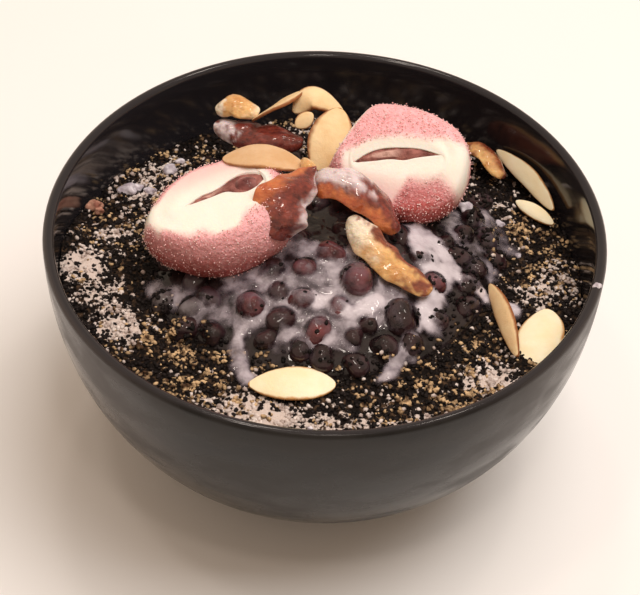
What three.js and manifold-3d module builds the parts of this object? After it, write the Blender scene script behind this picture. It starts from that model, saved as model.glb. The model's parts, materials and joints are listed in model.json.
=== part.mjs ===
// Shaved ice dessert in its bowl. Milk ice lies under ground black sesame, and on it is a
// heap of sweet red beans in condensed milk, with two cut pieces of filled rice cake, strips
// of dried date and sliced almonds. Millimetres, +Z up, origin under the middle of the foot.
import * as THREE from 'three';
import { mergeVertices } from 'three/addons/utils/BufferGeometryUtils.js';
import Module from 'manifold-3d';

const wasm = await Module();
wasm.setup();

// Every pair of touching pieces keeps this gap
const GAP = 0.3;

// The bowl
const RIM_RADIUS = 80;
const BOWL_HEIGHT = 85;
const BOWL_ROUNDNESS = 2.25;
const WALL = 3.2;
const FLOOR_TOP = 5.6;
const FOOT_OUTER = 31.5;
const FOOT_INNER = 28.5;
const FOOT_RECESS = 2.2;
const BOWL_SEGMENTS = 56;
const OUTER_STEPS = 7;
const INNER_STEPS = 6;
const RIM_STEPS = 4;

// The ice: its level at the middle of the wall, its fall towards the back, and its mounds
const ICE_LEVEL = 66;
const ICE_FALL = 0.079;
const ICE_MOUNDS = [
  { x: -76, y: -5, height: 5, spread: 18 },
  { x: 76, y: 5, height: -2, spread: 20 },
  { x: 2, y: 2, height: 11, spread: 30 },
];
const ICE_CRUMBLE = 0.55;
const ICE_RINGS = [22, 40, 47, 52, 57, 62, 67, 72, 76.5, 81];
const HIDDEN_RADIUS = 44;

// Coarse sesame crumbs that lie loose on the ice
const GRAIN_COUNT = 30;
const GRAIN_RADIUS = 1.5;
const GRAIN_INNER = 54;
const GRAIN_OUTER = 71;
const GRAIN_SINK = 0.4;

// Larger crumbs: two lumps of white ice and a brown one
const LUMPS = [
  { x: -61.7, y: 35.7, radius: 3 },
  { x: -58.6, y: 39.5, radius: 2.2 },
  { x: -69.8, y: 21.7, radius: 2 },
];

// The heap of beans: a low dome of beans and milk with two lobes towards the back
const HEAP_RADIUS = 48;
const HEAP_RISE = 7;
const HEAP_LOBES = [
  { angle: 128, reach: 9, width: 26 },
  { angle: 33, reach: 9, width: 24 },
  { angle: 205, reach: 3, width: 20 },
];
const HEAP_SEGMENTS = 36;
const HEAP_RINGS = [0.3, 0.55, 0.75, 0.9, 1];
const HEAP_EDGE = 0.8;
const BEAN_SIZE = [4.8, 3.9, 3.6];
const BEAN_SPACING = 7.8;
const BEAN_SIDES = 6;
const BEAN_RINGS = 5;
const BEAN_COUNT = 43;

// Colours seen in the photograph
const BLACK_GLAZE = 0x141213;
const SESAME_ICE = 0x5b5350;
const BEAN_RED = 0x3b1f24;
const CAKE_PINK = 0xe6a3a6;
const BEAN_PASTE = 0x7d4a45;
const DATE_MAROON = 0x5e2620;
const DATE_AMBER = 0xb5672a;
const ALMOND_CREAM = 0xe9cf9d;

const dessert = new THREE.Group();
dessert.name = 'shaved_ice_dessert';

// A small generator of repeatable random numbers
function seededRandom(seed) {
  let state = seed;
  return () => {
    state = (state * 1664525 + 1013904223) % 4294967296;
    return state / 4294967296;
  };
}

function toSolid(geometry) {
  const bare = geometry.clone();
  bare.deleteAttribute('normal');
  bare.deleteAttribute('uv');
  const merged = mergeVertices(bare, 1e-4);
  const corners = [];
  const index = merged.index.array;
  for (let i = 0; i < index.length; i += 3) {
    const [a, b, c] = [index[i], index[i + 1], index[i + 2]];
    if (a !== b && b !== c && c !== a) {
      corners.push(a, b, c);
    }
  }
  return new wasm.Manifold(new wasm.Mesh({
    numProp: 3,
    vertProperties: Float32Array.from(merged.attributes.position.array),
    triVerts: Uint32Array.from(corners),
  }));
}

function toGeometry(solid) {
  const mesh = solid.getMesh();
  const geometry = new THREE.BufferGeometry();
  geometry.setAttribute('position', new THREE.BufferAttribute(mesh.vertProperties, 3));
  geometry.setIndex(new THREE.BufferAttribute(mesh.triVerts, 1));
  geometry.computeVertexNormals();
  return geometry;
}

// A cut can leave scraps beside the piece itself, and only the piece is kept
function largestBody(solid) {
  const bodies = solid.decompose();
  return bodies.reduce((best, body) => (body.volume() > best.volume() ? body : best));
}

function cutBy(solid, cutters) {
  const left = cutters.reduce((rest, cutter) => rest.subtract(cutter), solid);
  return largestBody(left);
}

function place(name, solid, color, roughness) {
  const material = new THREE.MeshStandardMaterial({ color, roughness, metalness: 0 });
  const mesh = new THREE.Mesh(toGeometry(solid), material);
  mesh.name = name;
  dessert.add(mesh);
}

// Rings of equal count, counter-clockwise along the way from start to end, closed by fans
function loft(rings, start, end) {
  const count = rings[0].length;
  const points = [start, ...rings.flat(), end];
  const at = (ring, i) => 1 + ring * count + (i % count);
  const faces = [];
  const last = rings.length - 1;
  for (let i = 0; i < count; i += 1) {
    faces.push(0, at(0, i + 1), at(0, i));
    for (let ring = 0; ring < last; ring += 1) {
      faces.push(at(ring, i), at(ring, i + 1), at(ring + 1, i + 1));
      faces.push(at(ring, i), at(ring + 1, i + 1), at(ring + 1, i));
    }
    faces.push(at(last, i), at(last, i + 1), points.length - 1);
  }
  const geometry = new THREE.BufferGeometry().setFromPoints(points);
  geometry.setIndex(faces);
  return toSolid(geometry);
}

// The bowl's wall is a quarter of a superellipse, and inset moves a point inwards from it
function wallPoint(angle, inset) {
  const power = 2 / BOWL_ROUNDNESS;
  const r = RIM_RADIUS * Math.sin(angle) ** power;
  const drop = BOWL_HEIGHT * Math.cos(angle) ** power;
  const slopeR = (r / RIM_RADIUS) ** (BOWL_ROUNDNESS - 1) / RIM_RADIUS;
  const slopeZ = (drop / BOWL_HEIGHT) ** (BOWL_ROUNDNESS - 1) / BOWL_HEIGHT;
  const size = Math.hypot(slopeR, slopeZ);
  const x = r - inset * slopeR / size;
  const z = BOWL_HEIGHT - drop + inset * slopeZ / size;
  return new THREE.Vector2(x, z);
}

// The angle at which the wall, moved in by inset, passes a given height
function wallAngle(height, inset) {
  let low = 0.001;
  let high = Math.PI / 2;
  for (let step = 0; step < 40; step += 1) {
    const middle = (low + high) / 2;
    if (wallPoint(middle, inset).y < height) {
      low = middle;
    } else {
      high = middle;
    }
  }
  return low;
}

function wallCurve(from, to, inset, steps) {
  const points = [];
  for (let i = 0; i <= steps; i += 1) {
    points.push(wallPoint(from + (to - from) * i / steps, inset));
  }
  return points;
}

// Turns a profile of radius and height about the Z axis
function turned(profile) {
  const geometry = new THREE.LatheGeometry(profile, BOWL_SEGMENTS);
  geometry.rotateX(Math.PI / 2);
  return toSolid(geometry);
}

const lipRadius = WALL / 2;
const lipAngle = wallAngle(BOWL_HEIGHT - lipRadius, 0);
const floorAngle = wallAngle(FLOOR_TOP, WALL);

function bowlSolid() {
  const footTop = wallAngle(5, 0);
  const profile = [
    new THREE.Vector2(0, FOOT_RECESS),
    new THREE.Vector2(FOOT_INNER - 0.8, FOOT_RECESS),
    new THREE.Vector2(FOOT_INNER, 0),
    new THREE.Vector2(FOOT_OUTER, 0),
    ...wallCurve(footTop, lipAngle, 0, OUTER_STEPS),
  ];
  for (let i = 1; i < RIM_STEPS; i += 1) {
    const turn = Math.PI * i / RIM_STEPS;
    const x = RIM_RADIUS - lipRadius + lipRadius * Math.cos(turn);
    profile.push(new THREE.Vector2(x, BOWL_HEIGHT - lipRadius + lipRadius * Math.sin(turn)));
  }
  profile.push(...wallCurve(lipAngle, floorAngle, WALL, INNER_STEPS));
  profile.push(new THREE.Vector2(0, FLOOR_TOP));
  return turned(profile);
}

// The room inside the bowl and straight up from its lip, clear of the wall
function bowlRoom() {
  const inside = wallCurve(floorAngle, lipAngle, WALL, INNER_STEPS);
  const profile = [new THREE.Vector2(0, FLOOR_TOP + GAP)];
  for (const point of inside) {
    profile.push(new THREE.Vector2(point.x - GAP, Math.max(point.y, FLOOR_TOP + GAP)));
  }
  profile.push(new THREE.Vector2(RIM_RADIUS - WALL - GAP, 2 * BOWL_HEIGHT));
  profile.push(new THREE.Vector2(0, 2 * BOWL_HEIGHT));
  return turned(profile);
}

// All that is not room inside the bowl, to cut what leans on its wall
function bowlSurround() {
  const block = new THREE.BoxGeometry(3 * RIM_RADIUS, 3 * RIM_RADIUS, BOWL_HEIGHT);
  block.translate(0, 0, BOWL_HEIGHT / 2);
  return toSolid(block).subtract(bowlRoom());
}

function iceHeight(x, y) {
  const mounds = ICE_MOUNDS.map(
    (m) => m.height * Math.exp(-((x - m.x) ** 2 + (y - m.y) ** 2) / (2 * m.spread ** 2)),
  );
  return ICE_LEVEL - ICE_FALL * y + mounds.reduce((sum, height) => sum + height, 0);
}

// A round field of heights over rings about the origin, with a flat underside
function heightField(rings, segments, height, bottom) {
  const ringAt = (place, level) => {
    const points = [];
    for (let i = 0; i < segments; i += 1) {
      const angle = -2 * Math.PI * i / segments;
      const radius = place(angle);
      const [x, y] = [radius * Math.cos(angle), radius * Math.sin(angle)];
      points.push(new THREE.Vector3(x, y, level(x, y)));
    }
    return points;
  };
  const tops = rings.map((place) => ringAt(place, height));
  const base = ringAt(rings[rings.length - 1], () => bottom);
  const start = new THREE.Vector3(0, 0, height(0, 0));
  return loft([...tops, base], start, new THREE.Vector3(0, 0, bottom));
}

// The ice top, raised by lift, with a crumbled surface wherever it shows
function iceTop(lift) {
  const random = seededRandom(7);
  const height = (x, y) => {
    const crumble = Math.hypot(x, y) > HIDDEN_RADIUS ? ICE_CRUMBLE * (2 * random() - 1) : 0;
    return iceHeight(x, y) + crumble + lift;
  };
  const rings = ICE_RINGS.map((radius) => () => radius);
  return heightField(rings, BOWL_SEGMENTS, height, -1);
}

function heapReach(angle) {
  const degrees = THREE.MathUtils.radToDeg(angle);
  return HEAP_LOBES.reduce((reach, lobe) => {
    const away = THREE.MathUtils.euclideanModulo(degrees - lobe.angle + 180, 360) - 180;
    return reach + lobe.reach * Math.exp(-((away / lobe.width) ** 2));
  }, HEAP_RADIUS);
}

// The level of the milk and the bean mash between the whole beans
function heapHeight(x, y) {
  const part = Math.hypot(x, y) / heapReach(Math.atan2(y, x));
  return iceHeight(x, y) + HEAP_RISE * Math.max(1 - part ** 2, 0) ** 0.6;
}

// A strip along a path: a slice of almond or a piece of date flesh with its skin outside
function strip(spec, grow = 0) {
  const { path, face, width, thickness, cup = 0, blunt = 0.5, lean = 1, sides = 8 } = spec;
  const stations = spec.stations ?? 8;
  const curve = new THREE.CatmullRomCurve3(path.map((point) => new THREE.Vector3(...point)));
  const faces = face.map((vector) => new THREE.Vector3(...vector));
  const rings = [];
  for (let i = 1; i <= stations; i += 1) {
    const t = (1 - Math.cos(Math.PI * i / (stations + 1))) / 2;
    const centre = curve.getPoint(t);
    const along = curve.getTangent(t);
    const out = faces[0].clone().lerp(faces[1], t);
    out.addScaledVector(along, -out.dot(along)).normalize();
    const across = out.clone().cross(along);
    const swell = Math.sin(Math.PI * t ** lean) ** blunt;
    const halfWidth = swell * width / 2 + grow;
    const halfDepth = (0.55 + 0.45 * swell) * thickness / 2 + grow;
    const ring = [];
    for (let k = 0; k < sides; k += 1) {
      const turn = 2 * Math.PI * k / sides;
      const side = Math.cos(turn);
      const rise = halfDepth * Math.sin(turn) + cup * swell * (0.5 - side ** 2);
      ring.push(
        centre.clone().addScaledVector(across, halfWidth * side).addScaledVector(out, rise),
      );
    }
    rings.push(ring);
  }
  const start = curve.getPoint(0).addScaledVector(curve.getTangent(0), -grow);
  const end = curve.getPoint(1).addScaledVector(curve.getTangent(1), grow);
  return loft(rings, start, end);
}

// Section of a cut rice cake: share of its outline against depth under the cut face
const CAKE_SECTION = [
  [0.42, -0.4], [0.7, 0], [0.83, 0.8], [0.94, 3.2], [1, 7], [0.97, 11.5], [0.84, 15.5], [0.54, 18.6],
];
const CAKE_SEGMENTS = 22;
const CAKE_SQUARENESS = 2.3;

const RICE_CAKES = [
  {
    name: 'left', centre: [-31.9, -4.3, 96], long: [0.94, 0.22, 0.26], normal: [-0.25, -0.08, 0.97],
    length: 44, breadth: 34, depth: 21, nip: 0.45,
    filling: { shift: [2, 3], length: 25, breadth: 6, tilt: 6 },
  },
  {
    name: 'right', centre: [20.4, 13.6, 97], long: [0.97, -0.12, -0.14], normal: [0.02, -0.68, 0.73],
    length: 42, breadth: 34, depth: 21, nip: 0,
    filling: { shift: [-1.5, 1], length: 22, breadth: 4.6, tilt: 12 },
    chop: { at: [12.1, 31.4, 103], normal: [-0.85, 0.48, 0.27] },
  },
];
const FILLING_DEPTH = 13;
const FILLING_SEGMENTS = 12;

// The three directions of a cake: along its cut face, across it and out of it
function cakeAxes(cake) {
  const along = new THREE.Vector3(...cake.long).normalize();
  const out = new THREE.Vector3(...cake.normal);
  out.addScaledVector(along, -out.dot(along)).normalize();
  const across = out.clone().cross(along);
  return { along, across, out };
}

function cakePoint(cake, u, v, depth) {
  const { along, across, out } = cakeAxes(cake);
  const point = new THREE.Vector3(...cake.centre);
  return point.addScaledVector(along, u).addScaledVector(across, v).addScaledVector(out, -depth);
}

function cakeSolid(cake, grow = 0) {
  const stretch = cake.depth / 19.4;
  const rings = CAKE_SECTION.map(([share, depth]) => {
    const ring = [];
    for (let i = 0; i < CAKE_SEGMENTS; i += 1) {
      const turn = -2 * Math.PI * i / CAKE_SEGMENTS;
      const [c, s] = [Math.cos(turn), Math.sin(turn)];
      const p = CAKE_SQUARENESS;
      const round = (Math.abs(c) ** p + Math.abs(s) ** p) ** (-1 / p);
      const narrow = 1 - cake.nip * Math.max(-c, 0) ** 2;
      const u = c * round * (share * cake.length / 2 + grow);
      const v = s * round * narrow * (share * cake.breadth / 2 + grow);
      ring.push(cakePoint(cake, u, v, depth * stretch));
    }
    return ring;
  });
  const top = cakePoint(cake, 0, 0, -0.6 - grow);
  const whole = loft(rings, top, cakePoint(cake, 0, 0, cake.depth + grow));
  return cake.chop ? whole.subtract(chopBlock(cake.chop, grow)) : whole;
}

// A block whose near face is the second cut of a rice cake
function chopBlock(chop, grow) {
  const side = 80;
  const geometry = new THREE.BoxGeometry(side, side, side);
  const out = new THREE.Vector3(...chop.normal).normalize();
  const turn = new THREE.Quaternion().setFromUnitVectors(new THREE.Vector3(0, 0, 1), out);
  geometry.translate(0, 0, side / 2 + grow);
  geometry.applyQuaternion(turn);
  geometry.translate(...chop.at);
  return toSolid(geometry);
}

// A lens of bean paste that runs down into the cake from its cut face
function fillingSolid(cake, grow = 0, reach = 0) {
  const { shift, length, breadth, tilt } = cake.filling;
  const lean = THREE.MathUtils.degToRad(tilt);
  const levels = [[0.6, -0.2 - reach], [0.95, 0.1], [1, 1.2], [0.92, 0.55 * FILLING_DEPTH], [0.6, 0.9 * FILLING_DEPTH]];
  const rings = levels.map(([share, depth]) => {
    const ring = [];
    for (let i = 0; i < FILLING_SEGMENTS; i += 1) {
      const turn = -2 * Math.PI * i / FILLING_SEGMENTS;
      const a = Math.cos(turn) * (share * length / 2 + grow);
      const b = Math.sin(turn) * Math.abs(Math.sin(turn)) ** 0.5 * (share * breadth / 2 + grow);
      const u = shift[0] + a * Math.cos(lean) - b * Math.sin(lean);
      const v = shift[1] + a * Math.sin(lean) + b * Math.cos(lean);
      ring.push(cakePoint(cake, u, v, depth));
    }
    return ring;
  });
  const start = cakePoint(cake, ...shift, -0.3 - reach - grow);
  return loft(rings, start, cakePoint(cake, ...shift, FILLING_DEPTH + grow));
}

const DATE_STRIPS = [
  {
    name: 'arch', color: DATE_MAROON, width: 11, thickness: 3, cup: 2.4, stations: 10,
    path: [[-6.8, 4.4, 92], [0.3, 0, 97], [7.6, -3, 97.5], [14.5, -5.4, 92], [20.3, -8.4, 85]],
    face: [[0.1, -0.1, 1], [0.8, 0, 0.6]],
  },
  {
    name: 'pale', color: DATE_AMBER, width: 8, thickness: 3, cup: 1.2, stations: 9,
    path: [[7.2, -6.5, 91], [11.9, -12, 89], [18.8, -17.4, 86], [29.9, -23.1, 81.4]],
    face: [[-0.5, -0.4, 0.8], [0.1, -0.2, 1]],
  },
  {
    name: 'middle', color: DATE_MAROON, width: 11, thickness: 3.4, cup: 2, stations: 9,
    path: [[-8, 5.7, 96], [-9.4, -1.6, 91], [-12.4, -7.8, 82]],
    face: [[0.55, -0.6, 0.6], [0.5, -0.8, 0.3]],
  },
  {
    name: 'back', color: DATE_MAROON, width: 9, thickness: 3.4, cup: 1.6, stations: 8,
    path: [[-35, 48.2, 78.5], [-21.3, 42.2, 79.5], [-7.7, 38.5, 81]],
    face: [[0, -0.5, 0.85], [0, -0.5, 0.85]],
  },
  {
    name: 'curl', color: DATE_AMBER, width: 7.5, thickness: 3, cup: 1, stations: 7,
    path: [[-34.6, 51.2, 82.5], [-28.4, 50.1, 85.4], [-21.4, 48, 84]],
    face: [[-0.2, -0.3, 0.9], [0.2, -0.3, 0.9]],
  },
  {
    name: 'behind', color: DATE_MAROON, width: 8, thickness: 3, cup: 1.5, stations: 7,
    path: [[14, 42, 80], [23, 43, 87], [33, 40, 81]],
    face: [[0, 0.6, 0.8], [0, 0.6, 0.8]],
  },
  {
    name: 'right', color: DATE_AMBER, width: 8, thickness: 3.2, cup: 1.8, stations: 7,
    path: [[41, 55, 68.5], [48.4, 48.9, 70.5], [53.4, 40, 69]],
    face: [[0.4, 0, 0.9], [0.4, 0, 0.9]],
  },
];

const ALMOND_SLICES = [
  {
    name: 'front', width: 11, path: [[-19.2, -52.6, 73.3], [-7.4, -52.6, 74.6], [4.4, -51.6, 73.4]],
    face: [[0, -0.15, 1], [0, -0.1, 1]], lean: 1.15,
  },
  {
    name: 'right_flat', width: 13, path: [[57.2, -38.2, 69.5], [61.2, -28, 71.2], [63.6, -17.5, 70.8]],
    face: [[-0.2, -0.25, 0.95], [-0.2, -0.25, 0.95]], lean: 0.9,
  },
  {
    name: 'right_leaning', width: 10, path: [[47.4, -10.5, 73], [50.6, -24, 74.6], [54, -38, 72.6]],
    face: [[-0.75, -0.3, 0.55], [-0.75, -0.2, 0.6]], lean: 1,
  },
  {
    name: 'back_slender', width: 9, path: [[-23.3, 44.5, 84], [-15.6, 47.4, 88], [-8.3, 52.3, 90]],
    face: [[0, 0.6, 0.8], [0, 0.6, 0.8]], lean: 1,
  },
  {
    name: 'back_curly', width: 9, path: [[-11.1, 47, 86], [-5.2, 49, 90.5], [3.9, 47, 87]],
    face: [[0, -0.2, 0.97], [0.3, -0.1, 0.97]], lean: 1, cup: 1,
  },
  {
    name: 'back_upright', width: 12.5, path: [[-3.3, 22.5, 84.5], [0.4, 29.7, 91], [3, 37.5, 96]],
    face: [[0.1, -0.6, 0.75], [0.1, -0.65, 0.75]], lean: 1,
  },
  {
    name: 'back_chip', width: 5, path: [[-10, 40, 86], [-5, 43, 89]],
    face: [[0, -0.6, 0.8], [0, -0.6, 0.8]], lean: 1, stations: 5,
  },
  {
    name: 'on_cake', width: 12, path: [[-29.9, 10.6, 97.8], [-18.6, 10.4, 100], [-6.4, 8.7, 97.8]],
    face: [[-0.1, 0.15, 0.97], [-0.1, 0.15, 0.97]], lean: 1,
  },
  {
    name: 'wall_long', width: 8.5, path: [[52.4, 53, 69], [61.4, 39.5, 70], [68.4, 26.8, 68.5]],
    face: [[-0.5, -0.4, 0.75], [-0.5, -0.4, 0.75]], lean: 1.1,
  },
  {
    name: 'wall_short', width: 8, path: [[57.6, 32.5, 66.8], [63, 28.6, 67.4], [67.6, 24.4, 66.8]],
    face: [[-0.2, -0.2, 0.95], [-0.2, -0.2, 0.95]], lean: 1,
  },
];
const ALMOND_FORM = { thickness: 1.2, cup: 0.4, blunt: 0.55, sides: 6, stations: 7 };

// One bean, an egg of few sides lying at any angle
function bean(x, y, scale, random) {
  const geometry = new THREE.SphereGeometry(1, BEAN_SIDES, BEAN_RINGS);
  geometry.scale(...BEAN_SIZE.map((size) => size * scale));
  geometry.rotateX(0.8 * random() - 0.4);
  geometry.rotateY(0.8 * random() - 0.4);
  geometry.rotateZ(2 * Math.PI * random());
  const lift = (1.4 * random() - 0.1) * scale;
  geometry.translate(x, y, heapHeight(x, y) + lift);
  return toSolid(geometry);
}

// Beans that stand out in the photograph: place and size against the usual bean
const MAIN_BEANS = [
  [9.5, -21, 1.15], [4.4, -36, 0.95], [-20, -27, 1], [-13, -17, 1], [-11, -31, 1.05], [0, -11, 1],
  [-5.5, -24, 0.9], [23, -31, 1.15], [32, -11, 0.9], [37.5, -15.5, 1], [-33, -24, 1], [-46, -18, 0.9],
];

function beanPlaces(random) {
  const places = MAIN_BEANS.map(([x, y, scale]) => ({ x, y, scale }));
  const cakes = RICE_CAKES.map((cake) => cakePoint(cake, 0, 0, cake.depth * 0.7));
  for (let tries = 0; tries < 4000 && places.length < BEAN_COUNT; tries += 1) {
    const angle = 2 * Math.PI * random();
    const radius = (heapReach(angle) - 1.5) * random() ** 0.45;
    const [x, y] = [radius * Math.cos(angle), radius * Math.sin(angle)];
    const clear = places.every((other) => Math.hypot(other.x - x, other.y - y) > BEAN_SPACING);
    const open = cakes.every((cake) => Math.hypot(cake.x - x, cake.y - y) > 15);
    if (clear && open) {
      places.push({ x, y, scale: 0.85 + 0.3 * random() });
    }
  }
  return places;
}

function heapSolid() {
  const random = seededRandom(21);
  const rings = HEAP_RINGS.map((share) => (angle) => share * heapReach(angle));
  let heap = heightField(rings, HEAP_SEGMENTS, (x, y) => heapHeight(x, y) + HEAP_EDGE, 40);
  for (const { x, y, scale } of beanPlaces(random)) {
    heap = heap.add(bean(x, y, scale, random));
  }
  return heap;
}

// A crumb of few sides, part sunk in the ice
function crumb(x, y, radius, turn) {
  const geometry = new THREE.OctahedronGeometry(radius, 0);
  geometry.rotateX(turn);
  geometry.rotateZ(turn);
  geometry.translate(x, y, iceHeight(x, y) + GRAIN_SINK);
  return toSolid(geometry);
}

// Loose crumbs strewn over the open ice, away from the places that are kept free
function crumbs(keepFree) {
  const random = seededRandom(5);
  const solids = LUMPS.map(({ x, y, radius }) => crumb(x, y, radius, x));
  while (solids.length < GRAIN_COUNT + LUMPS.length) {
    const angle = 2 * Math.PI * random();
    const reach = Math.max(GRAIN_INNER, heapReach(angle) + 5);
    const radius = reach + (GRAIN_OUTER - reach) * random();
    const [x, y] = [radius * Math.cos(angle), radius * Math.sin(angle)];
    const size = GRAIN_RADIUS * (0.75 + 0.6 * random());
    if (keepFree.every((spot) => Math.hypot(spot.x - x, spot.y - y) > spot.radius)) {
      solids.push(crumb(x, y, size, 6 * random()));
    }
  }
  return solids;
}

// Thick runs of condensed milk that flow off the heap over the ice
const MILK_RUNS = [
  { width: 5, path: [[44, -11], [47.6, -14], [53.8, -17.5]] },
  { width: 4.6, path: [[27, -38], [21.7, -42], [17.9, -49.8]] },
  { width: 4, path: [[-24, -43], [-21, -47], [-19.8, -52]] },
];

function milkRun({ width, path }, grow = 0) {
  const lifted = path.map(([x, y]) => [x, y, iceHeight(x, y) + 0.7]);
  const up = [0, 0, 1];
  const spec = { path: lifted, face: [up, up], width, thickness: 2.4, stations: 6, sides: 6 };
  return strip(spec, grow);
}

function sum(solids) {
  return solids.reduce((whole, solid) => whole.add(solid));
}

// The bowl stands on its foot, and everything else is cut clear of what was placed before it
place('bowl', bowlSolid(), BLACK_GLAZE, 0.25);

const cutters = [bowlSurround()];
for (const cake of RICE_CAKES) {
  const pocket = fillingSolid(cake, GAP, 2);
  place(`rice_cake_${cake.name}`, cakeSolid(cake).subtract(pocket), CAKE_PINK, 0.8);
  place(`bean_filling_${cake.name}`, fillingSolid(cake), BEAN_PASTE, 0.6);
  cutters.push(cakeSolid(cake, GAP));
}
for (const date of DATE_STRIPS) {
  place(`date_strip_${date.name}`, cutBy(strip(date), cutters), date.color, 0.45);
  cutters.push(strip(date, GAP));
}
for (const slice of ALMOND_SLICES) {
  const spec = { ...ALMOND_FORM, ...slice };
  place(`almond_slice_${slice.name}`, cutBy(strip(spec), cutters), ALMOND_CREAM, 0.6);
  cutters.push(strip(spec, GAP));
}
const runCutters = MILK_RUNS.map((run) => milkRun(run, GAP));
place('red_beans', cutBy(heapSolid(), [iceTop(GAP), ...cutters, ...runCutters]), BEAN_RED, 0.3);

const keepFree = ALMOND_SLICES.concat(DATE_STRIPS).map(({ path }) => {
  const [x, y] = path[1];
  return { x, y, radius: 14 };
});
const runs = MILK_RUNS.map((run) => milkRun(run));
const ice = sum([iceTop(0), ...runs, ...crumbs(keepFree)]).intersect(bowlRoom());
place('shaved_ice', cutBy(ice, cutters), SESAME_ICE, 0.85);

export default dessert;
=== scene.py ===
"""Dresses the shaved ice dessert in its black bowl, in metres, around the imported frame."""
from __future__ import annotations

import json
import logging
import math
from contextlib import contextmanager
from dataclasses import dataclass, field
from enum import Enum
from typing import Callable, Iterator, Sequence

import bpy
import numpy as np
from mathutils import Matrix, Vector, noise

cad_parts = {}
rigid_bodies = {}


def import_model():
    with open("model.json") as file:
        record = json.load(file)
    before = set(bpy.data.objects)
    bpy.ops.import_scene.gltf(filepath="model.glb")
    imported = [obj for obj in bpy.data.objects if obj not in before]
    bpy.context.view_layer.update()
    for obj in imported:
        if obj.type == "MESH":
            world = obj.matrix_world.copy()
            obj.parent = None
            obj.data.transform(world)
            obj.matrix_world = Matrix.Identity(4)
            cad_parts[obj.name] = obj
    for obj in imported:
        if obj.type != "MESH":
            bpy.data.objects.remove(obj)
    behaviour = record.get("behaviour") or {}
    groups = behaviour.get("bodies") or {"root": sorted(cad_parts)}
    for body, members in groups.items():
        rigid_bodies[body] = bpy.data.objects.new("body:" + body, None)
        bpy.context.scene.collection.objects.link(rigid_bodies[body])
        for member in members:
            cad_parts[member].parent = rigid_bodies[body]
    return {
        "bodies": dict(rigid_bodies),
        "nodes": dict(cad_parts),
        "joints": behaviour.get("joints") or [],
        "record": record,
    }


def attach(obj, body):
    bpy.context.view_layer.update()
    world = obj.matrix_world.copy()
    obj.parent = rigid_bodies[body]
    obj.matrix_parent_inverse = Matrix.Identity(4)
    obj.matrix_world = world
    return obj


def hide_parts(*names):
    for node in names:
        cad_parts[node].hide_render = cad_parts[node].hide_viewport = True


LOG = logging.getLogger("dessert")

# Sizes below are in millimetres, and one millimetre is this many metres
MM = 0.001
SEED = 11

Point = tuple[float, float, float]
Colour = tuple[float, float, float, float]


def tint(red: int, green: int, blue: int) -> Colour:
    """Turns a colour as seen on a screen, each part 0 to 255, into Blender's linear colour."""
    parts = [channel / 255 for channel in (red, green, blue)]
    linear = [p / 12.92 if p <= 0.04045 else ((p + 0.055) / 1.055) ** 2.4 for p in parts]
    return (linear[0], linear[1], linear[2], 1.0)


# Modelling helpers


def deselect() -> None:
    """Deselects every object, as the loaded frame leaves its own selected."""
    bpy.ops.object.select_all(action="DESELECT")


def taken(name: str) -> bpy.types.Object:
    """Names the primitive that was just added.

    Args:
        name: The piece's name.

    Returns:
        The new object.
    """
    piece = bpy.context.active_object
    piece.name = name
    piece.data.name = name
    return piece


@contextmanager
def editing(piece: bpy.types.Object) -> Iterator[None]:
    """Opens a piece in edit mode with all of it selected, and closes it afterwards.

    Args:
        piece: The mesh object to edit.
    """
    deselect()
    piece.select_set(True)
    bpy.context.view_layer.objects.active = piece
    bpy.ops.object.mode_set(mode="EDIT")
    bpy.ops.mesh.select_all(action="SELECT")
    yield
    bpy.ops.object.mode_set(mode="OBJECT")


def ball(name: str, segments: int, rings: int) -> bpy.types.Object:
    """Adds a sphere of radius 1 as the start of a closed piece.

    Args:
        name: The piece's name.
        segments: Faces round it.
        rings: Faces from pole to pole.

    Returns:
        The new object.
    """
    deselect()
    bpy.ops.mesh.primitive_uv_sphere_add(segments=segments, ring_count=rings, radius=1)
    return taken(name)


def corners(piece: bpy.types.Object) -> np.ndarray:
    """Gives the places of a piece's vertices, one row each."""
    flat = np.empty(len(piece.data.vertices) * 3)
    piece.data.vertices.foreach_get("co", flat)
    return flat.reshape(-1, 3)


def reshape(piece: bpy.types.Object, places: np.ndarray) -> None:
    """Moves a piece's vertices.

    Args:
        piece: The mesh object.
        places: The new places in millimetres, one row each.
    """
    piece.data.vertices.foreach_set("co", (places * MM).ravel())
    piece.data.update()


def mark(piece: bpy.types.Object, name: str, values: np.ndarray) -> None:
    """Keeps a value or a vector at each vertex, for the piece's material to read.

    Args:
        piece: The mesh object.
        name: The attribute's name.
        values: One number, or one row of three, for each vertex.
    """
    if values.ndim == 1:
        layer = piece.data.attributes.new(name, "FLOAT", "POINT")
        layer.data.foreach_set("value", values.astype(np.float32))
    else:
        layer = piece.data.attributes.new(name, "FLOAT_VECTOR", "POINT")
        layer.data.foreach_set("vector", values.astype(np.float32).ravel())


def finish_form(piece: bpy.types.Object, material: bpy.types.Material) -> None:
    """Turns a piece's faces outwards, smooths its shading and gives it its material.

    Args:
        piece: The mesh object.
        material: Its finish.
    """
    with editing(piece):
        bpy.ops.mesh.normals_make_consistent(inside=False)
        bpy.ops.mesh.faces_shade_smooth()
    piece.data.materials.clear()
    piece.data.materials.append(material)


def placed(piece: bpy.types.Object, stands_for: Sequence[str] = ()) -> None:
    """Ties a finished piece to the frame and reports it.

    Args:
        piece: The mesh object.
        stands_for: The CAD nodes that it replaces.
    """
    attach(piece, "root")
    if stands_for:
        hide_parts(*stands_for)
    LOG.info("%s: %d faces", piece.name, len(piece.data.polygons))


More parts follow.
